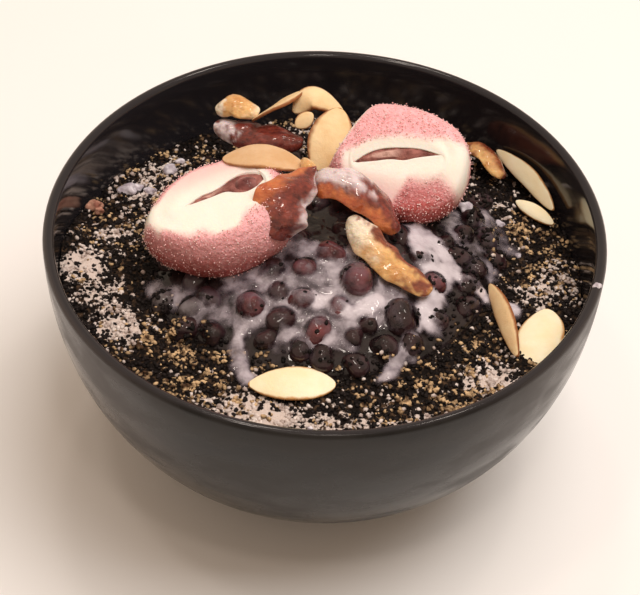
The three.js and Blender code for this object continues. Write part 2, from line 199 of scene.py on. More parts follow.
def join_all(
    name: str, pieces: Sequence[bpy.types.Object], material: bpy.types.Material
) -> None:
    """Joins pieces into one, finishes it and places it.

    Args:
        name: The joined piece's name.
        pieces: The pieces.
        material: The finish.
    """
    deselect()
    for piece in pieces:
        piece.select_set(True)
    bpy.context.view_layer.objects.active = pieces[0]
    bpy.ops.object.join()
    whole = taken(name)
    finish_form(whole, material)
    placed(whole)


def waves(places: np.ndarray, size: float, seed: float = 0.0, octaves: int = 1) -> np.ndarray:
    """Gives smooth noise of about -1 to 1 at each place.

    Args:
        places: Places in millimetres, one row each.
        size: The size of a wave in millimetres.
        seed: A shift that gives another pattern.
        octaves: How many finer layers are laid over each other.

    Returns:
        One number for each place.
    """
    shift = Vector((seed, -seed * 0.7, seed * 1.3))
    scaled = places / size
    if octaves == 1:
        return np.array([noise.noise(Vector(row) + shift) for row in scaled])
    return np.array([noise.fractal(Vector(row) + shift, 0.9, 2.1, octaves) for row in scaled])


def step(values: np.ndarray, low: float, high: float) -> np.ndarray:
    """Rises smoothly from 0 at low to 1 at high, or falls where high is below low."""
    share = np.clip((values - low) / (high - low), 0, 1)
    return share * share * (3 - 2 * share)


def unit(vector: Sequence[float]) -> np.ndarray:
    """Gives a vector of length 1 with the same direction."""
    array = np.asarray(vector, dtype=float)
    return array / np.linalg.norm(array)


def glide(points: Sequence[Sequence[float]], share: np.ndarray) -> np.ndarray:
    """Follows a smooth curve through some points.

    Args:
        points: The points, of any number of coordinates.
        share: How far along the curve, from 0 to 1.

    Returns:
        The curve's point at each share, one row each.
    """
    knots = np.asarray(points, dtype=float)
    before = 2 * knots[0] - knots[1]
    after = 2 * knots[-1] - knots[-2]
    knots = np.vstack([before, knots, after])
    spans = len(points) - 1
    along = np.clip(share, 0, 1) * spans
    index = np.minimum(along.astype(int), spans - 1)
    t = (along - index)[:, None]
    a, b, c, d = (knots[index + shift] for shift in range(4))
    cubic = -a + 3 * b - 3 * c + d
    square = 2 * a - 5 * b + 4 * c - d
    return 0.5 * (2 * b + (c - a) * t + square * t ** 2 + cubic * t ** 3)


# The dessert's lie in the bowl, as the CAD source has it


@dataclass(frozen=True)
class Mound:
    """A low hump of the ice."""

    x: float
    y: float
    height: float
    spread: float


@dataclass(frozen=True)
class Lobe:
    """A part of the bean heap that reaches further out."""

    angle: float
    reach: float
    width: float


ICE_LEVEL = 66
ICE_FALL = 0.079
ICE_MOUNDS = (Mound(-76, -5, 5, 18), Mound(76, 5, -2, 20), Mound(2, 2, 11, 30))
HEAP_RADIUS = 48
HEAP_RISE = 7
HEAP_LOBES = (Lobe(128, 9, 26), Lobe(33, 9, 24), Lobe(205, 3, 20))


def ice_height(x: np.ndarray, y: np.ndarray) -> np.ndarray:
    """Gives the level of the ice, before its crumbs, at places in the bowl."""
    level = ICE_LEVEL - ICE_FALL * y
    for mound in ICE_MOUNDS:
        away = (x - mound.x) ** 2 + (y - mound.y) ** 2
        level = level + mound.height * np.exp(-away / (2 * mound.spread ** 2))
    return level


def heap_reach(angle: np.ndarray) -> np.ndarray:
    """Gives the radius that the bean heap reaches at an angle in radians."""
    reach = np.full_like(angle, HEAP_RADIUS)
    for lobe in HEAP_LOBES:
        away = (np.degrees(angle) - lobe.angle + 180) % 360 - 180
        reach = reach + lobe.reach * np.exp(-((away / lobe.width) ** 2))
    return reach


def heap_part(x: np.ndarray, y: np.ndarray) -> np.ndarray:
    """Gives how far out in the heap a place is, where 1 is its edge."""
    return np.hypot(x, y) / heap_reach(np.arctan2(y, x))


def heap_height(x: np.ndarray, y: np.ndarray) -> np.ndarray:
    """Gives the level of the mash between the whole beans."""
    dome = np.clip(1 - heap_part(x, y) ** 2, 0, 1) ** 0.6
    return ice_height(x, y) + HEAP_RISE * dome


def crumble(x: np.ndarray, y: np.ndarray) -> np.ndarray:
    """Gives how far the crumbly top of the ice stands over its level."""
    flat = np.column_stack([x, y, np.zeros_like(x)])
    return 1.1 * waves(flat, 9, 3) + 1.0 * waves(flat, 3.6, 8) + 0.5 * waves(flat, 1.6, 5)


# Node helpers


class Sheet:
    """Lays nodes on a material or a group and links them."""

    def __init__(self, tree: bpy.types.NodeTree) -> None:
        """Starts on a node tree."""
        self.tree = tree

    def add(self, kind: str, **inputs: object) -> bpy.types.Node:
        """Adds a node and fills its inputs.

        Args:
            kind: The node's type, without the leading ShaderNode.
            inputs: Values or sockets by input name, with underscores for spaces.

        Returns:
            The new node.
        """
        node = self.tree.nodes.new("ShaderNode" + kind)
        for name, value in inputs.items():
            self.feed(node, name.replace("_", " "), value)
        return node

    def feed(self, node: bpy.types.Node, name: str | int, value: object) -> None:
        """Sets an input of a node to a value, or links a socket to it."""
        if isinstance(value, bpy.types.NodeSocket):
            self.tree.links.new(value, node.inputs[name])
        else:
            node.inputs[name].default_value = value

    def place(self) -> bpy.types.NodeSocket:
        """Gives the object coordinates."""
        return self.add("TexCoord").outputs["Object"]

    def attribute(self, name: str, part: str = "Fac") -> bpy.types.NodeSocket:
        """Gives an attribute that the mesh carries."""
        node = self.add("Attribute")
        node.attribute_name = name
        return node.outputs[part]

    def maths(self, operation: str, first: object, second: object = 0.0) -> bpy.types.NodeSocket:
        """Gives the result of a sum on two values."""
        node = self.add("Math")
        node.operation = operation
        self.feed(node, 0, first)
        self.feed(node, 1, second)
        return node.outputs[0]

    def ramp(self, value: object, low: float, high: float) -> bpy.types.NodeSocket:
        """Rises smoothly from 0 to 1 while the value goes from low to high."""
        node = self.add("MapRange", Value=value, From_Min=low, From_Max=high)
        node.interpolation_type = "SMOOTHSTEP"
        return node.outputs["Result"]

    def mix(self, share: object, first: object, second: object) -> bpy.types.NodeSocket:
        """Mixes two colours by a share."""
        node = self.add("Mix")
        node.data_type = "RGBA"
        self.feed(node, 0, share)
        self.feed(node, 6, first)
        self.feed(node, 7, second)
        return node.outputs[2]

    def group(self, tree: bpy.types.NodeTree, **inputs: object) -> bpy.types.NodeSocket:
        """Places a shared group and gives its first output."""
        node = self.tree.nodes.new("ShaderNodeGroup")
        node.node_tree = tree
        for name, value in inputs.items():
            self.feed(node, name.replace("_", " "), value)
        return node.outputs[0]


def group_tree(name: str, inputs: dict[str, float], output: str, vector: bool) -> Sheet:
    """Starts a shared group with number inputs, a place input and one output.

    Args:
        name: The group's name.
        inputs: The number inputs and their usual values.
        output: The output's name.
        vector: True if it puts out a normal rather than a value.

    Returns:
        The sheet to lay its nodes on.
    """
    tree = bpy.data.node_groups.new(name, "ShaderNodeTree")
    tree.interface.new_socket("Place", in_out="INPUT", socket_type="NodeSocketVector")
    for title, usual in inputs.items():
        socket = tree.interface.new_socket(title, in_out="INPUT", socket_type="NodeSocketFloat")
        socket.default_value = usual
    kind = "NodeSocketVector" if vector else "NodeSocketFloat"
    tree.interface.new_socket(output, in_out="OUTPUT", socket_type=kind)
    return Sheet(tree)


def mottle_group() -> bpy.types.NodeTree:
    """Builds the soft cloudy mask that most of the finishes vary by."""
    sheet = group_tree("mottle", {"Size": 0.01, "Low": 0.4, "High": 0.6}, "Mask", False)
    given = sheet.tree.nodes.new("NodeGroupInput")
    out = sheet.tree.nodes.new("NodeGroupOutput")
    scale = sheet.maths("DIVIDE", 1.0, given.outputs["Size"])
    cloud = sheet.add("TexNoise", Vector=given.outputs["Place"], Scale=scale, Detail=3.0)
    spread = sheet.add(
        "MapRange",
        Value=cloud.outputs["Fac"],
        From_Min=given.outputs["Low"],
        From_Max=given.outputs["High"],
    )
    sheet.feed(out, 0, spread.outputs["Result"])
    return sheet.tree


def relief_group() -> bpy.types.NodeTree:
    """Builds the bump of two sizes that gives skins, pastes and crumbs their feel."""
    usual = {"Coarse": 0.002, "Fine": 0.0006, "Height": 0.0003, "Share": 0.4}
    sheet = group_tree("relief", usual, "Normal", True)
    given = sheet.tree.nodes.new("NodeGroupInput")
    out = sheet.tree.nodes.new("NodeGroupOutput")
    layers = []
    for title in ("Coarse", "Fine"):
        scale = sheet.maths("DIVIDE", 1.0, given.outputs[title])
        cloud = sheet.add("TexNoise", Vector=given.outputs["Place"], Scale=scale, Detail=2.0)
        layers.append(cloud.outputs["Fac"])
    fine = sheet.maths("MULTIPLY", layers[1], given.outputs["Share"])
    both = sheet.maths("ADD", layers[0], fine)
    bump = sheet.add("Bump", Height=both, Distance=given.outputs["Height"], Strength=1.0)
    sheet.feed(out, 0, bump.outputs["Normal"])
    return sheet.tree


@dataclass(frozen=True)
class Groups:
    """The shared effects, built once."""

    mottle: bpy.types.NodeTree
    relief: bpy.types.NodeTree


@dataclass(frozen=True)
class Finish:
    """What every finish has: a name and a way to its material."""

    name: str

    def start(self) -> tuple[bpy.types.Material, Sheet, bpy.types.Node]:
        """Starts a material.

        Returns:
            The material, its sheet and its shader.
        """
        material = bpy.data.materials.new(self.name)
        material.use_nodes = True
        material.node_tree.nodes.clear()
        sheet = Sheet(material.node_tree)
        shader = sheet.add("BsdfPrincipled")
        output = sheet.add("OutputMaterial", Surface=shader.outputs["BSDF"])
        output.is_active_output = True
        return material, sheet, shader


@dataclass(frozen=True)
class GlazeFinish(Finish):
    """Black glaze, clear inside the bowl and misted over by the cold outside, with painted reflection: a
    lighter grey inside and towards the outer wall's left and right edges.
    """

    name: str = "black_glaze"
    # The inside is a lighter grey than the outer black: painted reflection of what the inner wall
    # mirrors.
    inside: Colour = tint(37, 34, 37)
    black: Colour = tint(12, 10, 10)
    misted: Colour = tint(34, 31, 29)
    # The grey of the painted reflection towards the outer wall's sides.
    reflection_grey: Colour = tint(74, 67, 65)
    wall_drop: float = 79.0

    def material(self, groups: Groups) -> bpy.types.Material:
        """Builds the glaze: cloudy mist where the attribute says that it is outside, and painted
        reflection as a lighter grey inside and towards the outer wall's sides.
        """
        material, sheet, shader = self.start()
        place = sheet.place()
        outside = sheet.attribute("outside")
        streak = sheet.add("Mapping", Vector=place, Scale=(1.0, 1.0, 2.2)).outputs["Vector"]
        patches = sheet.group(groups.mottle, Place=streak, Size=0.022, Low=0.36, High=0.62)
        mist = sheet.maths("MULTIPLY", outside, patches)
        cloudy = sheet.mix(patches, self.black, self.misted)
        # Painted reflection: the outer wall turns a lighter grey towards its left and right edges.
        wall = sheet.mix(sheet.attribute("painted_reflection"), cloudy, self.reflection_grey)
        sheet.feed(shader, "Base Color", sheet.mix(outside, self.inside, wall))
        smudge = sheet.group(groups.mottle, Place=place, Size=0.012, Low=0.3, High=0.8)
        dull = sheet.maths("MULTIPLY", mist, 0.3)
        rough = sheet.maths("MULTIPLY_ADD", smudge, 0.08)
        rough.node.inputs[2].default_value = 0.08
        sheet.feed(shader, "Roughness", sheet.maths("ADD", rough, dull))
        waved = sheet.group(
            groups.relief, Place=place, Coarse=0.02, Fine=0.006, Height=0.0002, Share=0.3
        )
        sheet.feed(shader, "Normal", waved)
        sheet.feed(shader, "Specular IOR Level", 0.3)
        sheet.feed(shader, "Coat Weight", sheet.ramp(outside, 1.0, 0.0))
        sheet.feed(shader, "Coat Roughness", 0.12)
        sheet.feed(shader, "Coat IOR", 1.35)
        return material


@dataclass(frozen=True)
class IceFinish(Finish):
    """Milk ice under ground black sesame, white where the powder is thin."""

    name: str = "sesame_ice"
    white: Colour = tint(214, 194, 182)
    powder: Colour = tint(22, 17, 15)
    meal: Colour = tint(80, 60, 44)

    def material(self, groups: Groups) -> bpy.types.Material:
        """Builds the speckled ice from the powder attribute and two sizes of specks."""
        material, sheet, shader = self.start()
        place = sheet.place()
        bare = sheet.attribute("bare")
        fine = sheet.add("TexNoise", Vector=place, Scale=700.0, Detail=3.0, Roughness=0.6)
        coarse = sheet.add("TexNoise", Vector=place, Scale=260.0, Detail=2.0)
        both = sheet.maths("ADD", fine.outputs["Fac"], coarse.outputs["Fac"])
        level = sheet.maths("MULTIPLY_ADD", bare, 0.55)
        sheet.feed(level.node, 2, both)
        white = sheet.ramp(level, 1.2, 1.32)
        meal = sheet.group(groups.mottle, Place=place, Size=0.0016, Low=0.52, High=0.7)
        dark = sheet.mix(meal, self.powder, self.meal)
        sheet.feed(shader, "Base Color", sheet.mix(white, dark, self.white))
        sheet.feed(shader, "Roughness", sheet.ramp(white, 1.6, -0.6))
        sheet.feed(shader, "Specular IOR Level", 0.2)
        lumps = sheet.group(
            groups.relief, Place=place, Coarse=0.0016, Fine=0.0006, Height=0.0007, Share=0.6
        )
        sheet.feed(shader, "Normal", lumps)
        sheet.feed(shader, "Subsurface Weight", 0.08)
        sheet.feed(shader, "Subsurface Scale", 1.0)
        sheet.feed(shader, "Subsurface Radius", (0.002, 0.0015, 0.0012))
        return material


@dataclass(frozen=True)
class GrainFinish(Finish):
    """Crumbs of one kind: crushed seeds or flakes of ice."""

    name: str
    deep: Colour
    light: Colour
    roughness: float
    wet: float = 0.0

    def material(self, groups: Groups) -> bpy.types.Material:
        """Builds the crumbs' finish, whose shade changes from grain to grain."""
        material, sheet, shader = self.start()
        place = sheet.place()
        shade = sheet.group(groups.mottle, Place=place, Size=0.0022, Low=0.38, High=0.62)
        sheet.feed(shader, "Base Color", sheet.mix(shade, self.deep, self.light))
        sheet.feed(shader, "Roughness", self.roughness)
        sheet.feed(shader, "Specular IOR Level", 0.25)
        sheet.feed(shader, "Coat Weight", self.wet)
        sheet.feed(shader, "Coat Roughness", 0.2)
        feel = sheet.group(
            groups.relief, Place=place, Coarse=0.0008, Fine=0.0003, Height=0.0001, Share=0.5
        )
        sheet.feed(shader, "Normal", feel)
        return material


@dataclass(frozen=True)
class BeanFinish(Finish):
    """Sweet beans in their syrup: thin taut skin, darker in blotches."""

    name: str
    deep: Colour
    light: Colour
    veil: Colour
    veiled: float

    def material(self, groups: Groups) -> bpy.types.Material:
        """Builds the wet skin, with a veil of milk over part of it."""
        material, sheet, shader = self.start()
        place = sheet.place()
        blotch = sheet.group(groups.mottle, Place=place, Size=0.004, Low=0.35, High=0.65)
        skin = sheet.mix(blotch, self.deep, self.light)
        film = sheet.group(groups.mottle, Place=place, Size=0.0075, Low=0.5, High=0.75)
        share = sheet.maths("MULTIPLY", film, self.veiled)
        sheet.feed(shader, "Base Color", sheet.mix(share, skin, self.veil))
        sheet.feed(shader, "Roughness", sheet.ramp(blotch, -1.2, 2.4))
        pits = sheet.group(
            groups.relief, Place=place, Coarse=0.0022, Fine=0.0007, Height=0.00035, Share=0.4
        )
        sheet.feed(shader, "Normal", pits)
        sheet.feed(shader, "Specular IOR Level", 0.3)
        sheet.feed(shader, "Coat Weight", sheet.ramp(blotch, -1.0, 0.8))
        sheet.feed(shader, "Coat Roughness", 0.04)
        return material


@dataclass(frozen=True)
class MilkFinish(Finish):
    """Condensed milk: white where it is deep and a thin lavender film at its edges."""

    name: str = "condensed_milk"
    thin: Colour = tint(120, 102, 112)
    thick: Colour = tint(210, 198, 202)

    def material(self, groups: Groups) -> bpy.types.Material:
        """Builds the milk from the depth attribute."""
        material, sheet, shader = self.start()
        place = sheet.place()
        depth = sheet.attribute("depth")
        cloud = sheet.group(groups.mottle, Place=place, Size=0.005, Low=0.3, High=0.7)
        swirl = sheet.maths("MULTIPLY_ADD", cloud, 0.5)
        sheet.feed(swirl.node, 2, -0.3)
        deep = sheet.maths("ADD", depth, swirl)
        sheet.feed(shader, "Base Color", sheet.mix(deep, self.thin, self.thick))
        sheet.feed(shader, "Alpha", sheet.ramp(deep, -0.05, 0.8))
        sheet.feed(shader, "Roughness", sheet.ramp(cloud, -1.2, 4.2))
        skin = sheet.group(
            groups.relief, Place=place, Coarse=0.003, Fine=0.001, Height=0.0007, Share=0.3
        )
        sheet.feed(shader, "Normal", skin)
        sheet.feed(shader, "Coat Weight", 1.0)
        sheet.feed(shader, "Coat Roughness", 0.05)
        return material


@dataclass(frozen=True)
class CakeFinish(Finish):
    """Soft rice cake: cream where it is cut and a sugared pink skin outside."""

    name: str = "rice_cake"
    cream: Colour = tint(255, 243, 228)
    blushed: Colour = tint(250, 196, 192)
    pink: Colour = tint(253, 188, 190)
    # Deep rose low on the skin: partly its own colour, partly painted shade.
    deep_rose_and_shade: Colour = tint(184, 86, 82)
    sugar: Colour = tint(250, 206, 202)

    def material(self, groups: Groups) -> bpy.types.Material:
        """Builds the cake from its attributes: skin, blush on the cut and depth of rose, which darkens
        towards the bottom partly as the skin's own colour and partly as painted shade.
        """
        material, sheet, shader = self.start()
        place = sheet.place()
        skin = sheet.attribute("skin")
        cut = sheet.mix(sheet.attribute("blush"), self.cream, self.blushed)
        specks = sheet.group(groups.mottle, Place=place, Size=0.0022, Low=0.35, High=0.7)
        depth = sheet.maths("MULTIPLY_ADD", specks, 0.3)
        # The skin goes to deep rose towards the bottom: part its colour, part painted shade.
        sheet.feed(depth.node, 2, sheet.attribute("low_rose_and_shade"))
        peel = sheet.mix(depth, self.pink, self.deep_rose_and_shade)
        grains = sheet.group(groups.mottle, Place=place, Size=0.0009, Low=0.56, High=0.66)
        dusted = sheet.maths("MULTIPLY", grains, 0.4)
        sugared = sheet.mix(dusted, peel, self.sugar)
        sheet.feed(shader, "Base Color", sheet.mix(skin, cut, sugared))
        sheet.feed(shader, "Roughness", sheet.ramp(skin, -1.1, 2.2))
        height = sheet.maths("MULTIPLY_ADD", skin, 0.0005)
        sheet.feed(height.node, 2, 0.00006)
        grain = sheet.group(
            groups.relief, Place=place, Coarse=0.0011, Fine=0.0005, Height=height, Share=0.5
        )
        sheet.feed(shader, "Normal", grain)
        sheet.feed(shader, "Subsurface Weight", 0.25)
        sheet.feed(shader, "Subsurface Scale", 1.0)
        sheet.feed(shader, "Subsurface Radius", (0.004, 0.002, 0.0015))
        return material


@dataclass(frozen=True)
class PasteFinish(Finish):
    """Bean paste inside a rice cake: moist, coarse and brown."""

    name: str = "bean_paste"
    deep: Colour = tint(112, 58, 52)
    light: Colour = tint(170, 108, 98)
    smear: Colour = tint(206, 160, 146)

    def material(self, groups: Groups) -> bpy.types.Material:
        """Builds the paste: rice cake smeared over it where the pale attribute says."""
        material, sheet, shader = self.start()
        place = sheet.place()
        lumps = sheet.group(groups.mottle, Place=place, Size=0.003, Low=0.35, High=0.65)
        mash = sheet.mix(lumps, self.deep, self.light)
        sheet.feed(shader, "Base Color", sheet.mix(sheet.attribute("pale"), mash, self.smear))
        sheet.feed(shader, "Roughness", sheet.ramp(lumps, -1.4, 2.4))
        coarse = sheet.group(
            groups.relief, Place=place, Coarse=0.0018, Fine=0.0006, Height=0.0005, Share=0.5
        )
        sheet.feed(shader, "Normal", coarse)
        return material


@dataclass(frozen=True)
class DateFinish(Finish):
    """Dried date: amber flesh, pale where it is thin, and dark wrinkled skin."""

    name: str
    skin: Colour
    skin_light: Colour
    flesh: Colour
    flesh_light: Colour
    glow: Colour
    frost: Colour = tint(240, 222, 222)

    def material(self, groups: Groups) -> bpy.types.Material:
        """Builds the date from the piece's attributes: peel, glow and frost."""
        material, sheet, shader = self.start()
        place = sheet.place()
        cloud = sheet.group(groups.mottle, Place=place, Size=0.0035, Low=0.32, High=0.68)
        streak = sheet.add("Mapping", Vector=place, Scale=(1.0, 1.7, 1.0)).outputs["Vector"]
        vein = sheet.group(groups.mottle, Place=streak, Size=0.0022, Low=0.3, High=0.7)
        flesh = sheet.mix(cloud, self.flesh, self.flesh_light)
        lit = sheet.mix(sheet.attribute("glow"), flesh, self.glow)
        skin = sheet.mix(vein, self.skin, self.skin_light)
        dark = sheet.mix(sheet.attribute("peel"), lit, skin)
        sheet.feed(shader, "Base Color", sheet.mix(sheet.attribute("frost"), dark, self.frost))
        sheet.feed(shader, "Roughness", sheet.ramp(cloud, -0.9, 2.6))
        wrinkles = sheet.group(
            groups.relief, Place=streak, Coarse=0.0032, Fine=0.0009, Height=0.0007, Share=0.25
        )
        sheet.feed(shader, "Normal", wrinkles)
        sheet.feed(shader, "Coat Weight", 1.0)
        sheet.feed(shader, "Coat Roughness", 0.06)
        sheet.feed(shader, "Subsurface Weight", 0.2)
        sheet.feed(shader, "Subsurface Scale", 1.0)
        sheet.feed(shader, "Subsurface Radius", (0.004, 0.0015, 0.0006))
        return material


@dataclass(frozen=True)
class AlmondFinish(Finish):
    """A slice of almond: cream flesh with a tan rim."""

    name: str
    flesh: Colour
    warm: Colour
    rim: Colour
    rim_from: float = 0.92

    def material(self, groups: Groups) -> bpy.types.Material:
        """Builds the slice from its own lie: the rim is where it turns over its edge."""
        material, sheet, shader = self.start()
        place = sheet.place()
        edge = sheet.attribute("edge")
        cloud = sheet.group(groups.mottle, Place=place, Size=0.006, Low=0.35, High=0.7)
        face = sheet.mix(cloud, self.flesh, self.warm)
        ragged = sheet.group(groups.mottle, Place=place, Size=0.002, Low=0.2, High=0.8)
        level = sheet.maths("MULTIPLY_ADD", ragged, 0.12)
        sheet.feed(level.node, 2, edge)
        rim = sheet.ramp(level, self.rim_from, 1.06)
        sheet.feed(shader, "Base Color", sheet.mix(rim, face, self.rim))
        sheet.feed(shader, "Roughness", sheet.ramp(cloud, -1.5, 2.5))
        fibre = sheet.group(
            groups.relief, Place=place, Coarse=0.0016, Fine=0.0005, Height=0.00012, Share=0.5
        )
        sheet.feed(shader, "Normal", fibre)
        sheet.feed(shader, "Subsurface Weight", 0.15)
        sheet.feed(shader, "Subsurface Scale", 1.0)
        sheet.feed(shader, "Subsurface Radius", (0.002, 0.0014, 0.0008))
        return material


@dataclass(frozen=True)
class FloorFinish(Finish):
    """The plain pale table."""

    name: str = "pale_table"
    pale: Colour = tint(250, 246, 243)
    shade: Colour = tint(247, 242, 238)

    def material(self, groups: Groups) -> bpy.types.Material:
        """Builds the table top with the faintest clouding."""
        material, sheet, shader = self.start()
        place = sheet.place()
        cloud = sheet.group(groups.mottle, Place=place, Size=0.2, Low=0.3, High=0.7)
        sheet.feed(shader, "Base Color", sheet.mix(cloud, self.pale, self.shade))
        sheet.feed(shader, "Roughness", 0.75)
        return material


# Pieces


@dataclass
class Bowl:
    """The black bowl, turned from a profile."""

    rim_radius: float = 80.0
    height: float = 85.0
    roundness: float = 2.25
    wall: float = 3.2
    floor_top: float = 5.6
    foot_outer: float = 31.5
    foot_inner: float = 28.5
    foot_recess: float = 2.2
    steps: int = 26
    turns: int = 144
    finish: GlazeFinish = field(default_factory=GlazeFinish)

    def wall_point(self, angle: float, inset: float) -> tuple[float, float]:
        """Gives a point of the wall.

        Args:
            angle: 0 at the middle of the base and a quarter turn at the rim.
            inset: How far inside the outer face it is.

        Returns:
            Its radius and height.
        """
        power = 2 / self.roundness
        radius = self.rim_radius * math.sin(angle) ** power
        drop = self.height * math.cos(angle) ** power
        slope_r = (radius / self.rim_radius) ** (self.roundness - 1) / self.rim_radius
        slope_z = (drop / self.height) ** (self.roundness - 1) / self.height
        size = math.hypot(slope_r, slope_z)
        return radius - inset * slope_r / size, self.height - drop + inset * slope_z / size

    def wall_angle(self, level: float, inset: float) -> float:
        """Gives the angle at which the wall, moved in by inset, passes a height."""
        low, high = 0.001, math.pi / 2
        for _ in range(40):
            middle = (low + high) / 2
            if self.wall_point(middle, inset)[1] < level:
                low = middle
            else:
                high = middle
        return low

    def profile(self) -> list[tuple[float, float]]:
        """Gives the bowl's section, from the middle of its foot round to its inner floor."""
        lip = self.wall / 2
        top = self.wall_angle(self.height - lip, 0)
        base = self.wall_angle(5, 0)
        floor = self.wall_angle(self.floor_top, self.wall)
        points = [
            (0.0, self.foot_recess),
            (self.foot_inner - 0.9, self.foot_recess),
            (self.foot_inner - 0.3, 1.2),
            (self.foot_inner, 0.3),
            (self.foot_inner + 0.4, 0.0),
            (self.foot_outer - 0.6, 0.0),
            (self.foot_outer, 0.5),
            (self.foot_outer + 0.5, 2.5),
        ]
        for share in np.linspace(0, 1, self.steps):
            points.append(self.wall_point(base + (top - base) * share, 0))
        for share in np.linspace(0, 1, 9)[1:-1]:
            turn = math.pi * share
            points.append((
                self.rim_radius - lip + lip * math.cos(turn),
                self.height - lip + lip * math.sin(turn),
            ))
        for share in np.linspace(0, 1, self.steps):
            points.append(self.wall_point(top + (floor - top) * share, self.wall))
        points.append((0.0, self.floor_top))
        return points

    def build(self, groups: Groups) -> bpy.types.Object:
        """Draws the profile, spins it and marks its outer face."""
        points = self.profile()
        deselect()
        bpy.ops.mesh.primitive_plane_add(size=0.001)
        piece = taken("bowl_glazed")
        with editing(piece):
            bpy.ops.mesh.merge(type="CENTER")
            here = Vector((points[0][0], 0, points[0][1]))
            bpy.ops.transform.translate(value=here * MM)
            for radius, level in points[1:]:
                there = Vector((radius, 0, level))
                move = {"value": (there - here) * MM}
                bpy.ops.mesh.extrude_region_move(TRANSFORM_OT_translate=move)
                here = there
            bpy.ops.mesh.select_all(action="SELECT")
            bpy.ops.mesh.spin(
                steps=self.turns, angle=math.tau, center=(0, 0, 0), axis=(0, 0, 1)
            )
            bpy.ops.mesh.select_all(action="SELECT")
            bpy.ops.mesh.remove_doubles(threshold=0.00001)
        finish_form(piece, self.finish.material(groups))
        places = corners(piece) / MM
        radius = np.hypot(places[:, 0], places[:, 1])
        middle = np.array([
            self.wall_point(self.wall_angle(level, self.wall / 2), self.wall / 2)[0]
            for level in np.clip(places[:, 2], 1, self.height - 1)
        ])
        mark(piece, "outside", step(radius - middle, 0.2, 1.2))
        # Painted reflection: lighter grey towards the outer wall's left and right edges, more on the
        # left, as if mirroring the bright table.
        sided = np.where(places[:, 0] < 0, 1.0, 0.62)
        mark(piece, "painted_reflection", sided * step(np.abs(places[:, 0]), 30, 76))
        placed(piece, ["bowl"])
        return piece


@dataclass(frozen=True)
class Patch:
    """A place on the ice where the sesame is thin, or thick if its strength is below 0."""

    x: float
    y: float
    spread: float
    strength: float


BARE_PATCHES = (
    Patch(-69, -8, 4.6, 1.15),
    Patch(-63.5, -19, 3.6, 0.6),
    Patch(-61, 8, 4.5, 0.6),
    Patch(-57, -30, 4.8, 1.0),
    Patch(-27, -62, 6, 0.55),
    Patch(-13, -61, 6, 0.6),
    Patch(-14, -68, 7, 0.65),
    Patch(8, -69, 7, 0.6),
    Patch(26, -64, 6, 0.4),
    Patch(47, -46, 5.5, 0.95),
    Patch(69, 1, 5, 0.55),
    Patch(60, -8, 5, 0.45),
    Patch(52, 30, 5, 0.3),
    Patch(-53, 32, 7, 0.45),
    Patch(-47, 45, 7, 0.4),
    Patch(40, 58, 10, 0.3),
    Patch(0, 70, 12, 0.35),
)
TAN_PATCHES = (
    Patch(-41, -48, 9, 1.0),
    Patch(-46, -38, 6, 0.7),
    Patch(-18, -48, 7, 0.9),
    Patch(-62, 10, 6, 0.7),
    Patch(24, -56, 9, 0.8),
    Patch(36, -52, 9, 0.8),
    Patch(44, -33, 5, 0.5),
    Patch(58, 24, 5, 0.5),
    Patch(64, 8, 9, 0.55),
    Patch(-50, 38, 10, 0.6),
    Patch(0, 66, 20, 0.4),
)


def covering(patches: tuple[Patch, ...], x: np.ndarray, y: np.ndarray) -> np.ndarray:
    """Gives how strongly some patches cover each place, from 0 to 1."""
    cover = np.zeros_like(x)
    for patch in patches:
        away = (x - patch.x) ** 2 + (y - patch.y) ** 2
        cover = cover + patch.strength * np.exp(-away / (2 * patch.spread ** 2))
    return np.clip(cover, 0, 1)


@dataclass
class Ice:
    """The body of milk ice that fills the bowl."""

    room: float = 76.3
    steepness: float = 0.62
    segments: int = 260
    rings: int = 130
    finish: IceFinish = field(default_factory=IceFinish)

    def build(self, bowl: Bowl, groups: Groups) -> bpy.types.Object:
        """Shapes a sphere: its upper half is the crumbly top and its lower half lies in the bowl."""
        piece = ball("ice_body", self.segments, self.rings)
        round_places = corners(piece)
        polar = np.arccos(np.clip(round_places[:, 2], -1, 1)) / math.pi
        angle = np.arctan2(round_places[:, 1], round_places[:, 0])
        top = polar <= 0.5
        share = np.where(top, polar * 2, 2 - polar * 2)
        radius = self.room * share ** self.steepness
        x = radius * np.cos(angle)
        y = radius * np.sin(angle)
        level = ice_height(x, y) + crumble(x, y) * step(radius, 30, 42)
        below = np.array([
            bowl.wall_point(bowl.wall_angle(height, bowl.wall + 0.3), bowl.wall + 0.3)[0]
            for height in np.linspace(6, 80, 75)
        ])
        sunk = 6 + (level - 6) * share ** 2.2
        fit = np.minimum(radius, np.interp(sunk, np.linspace(6, 80, 75), below))
        radius = np.where(top, np.minimum(radius, np.interp(level, np.linspace(6, 80, 75), below)), fit)
        z = np.where(top, level, sunk)
        places = np.column_stack([radius * np.cos(angle), radius * np.sin(angle), z])
        reshape(piece, places)
        mark(piece, "bare", covering(BARE_PATCHES, places[:, 0], places[:, 1]))
        finish_form(piece, self.finish.material(groups))
        placed(piece, ["shaved_ice"])
        return piece


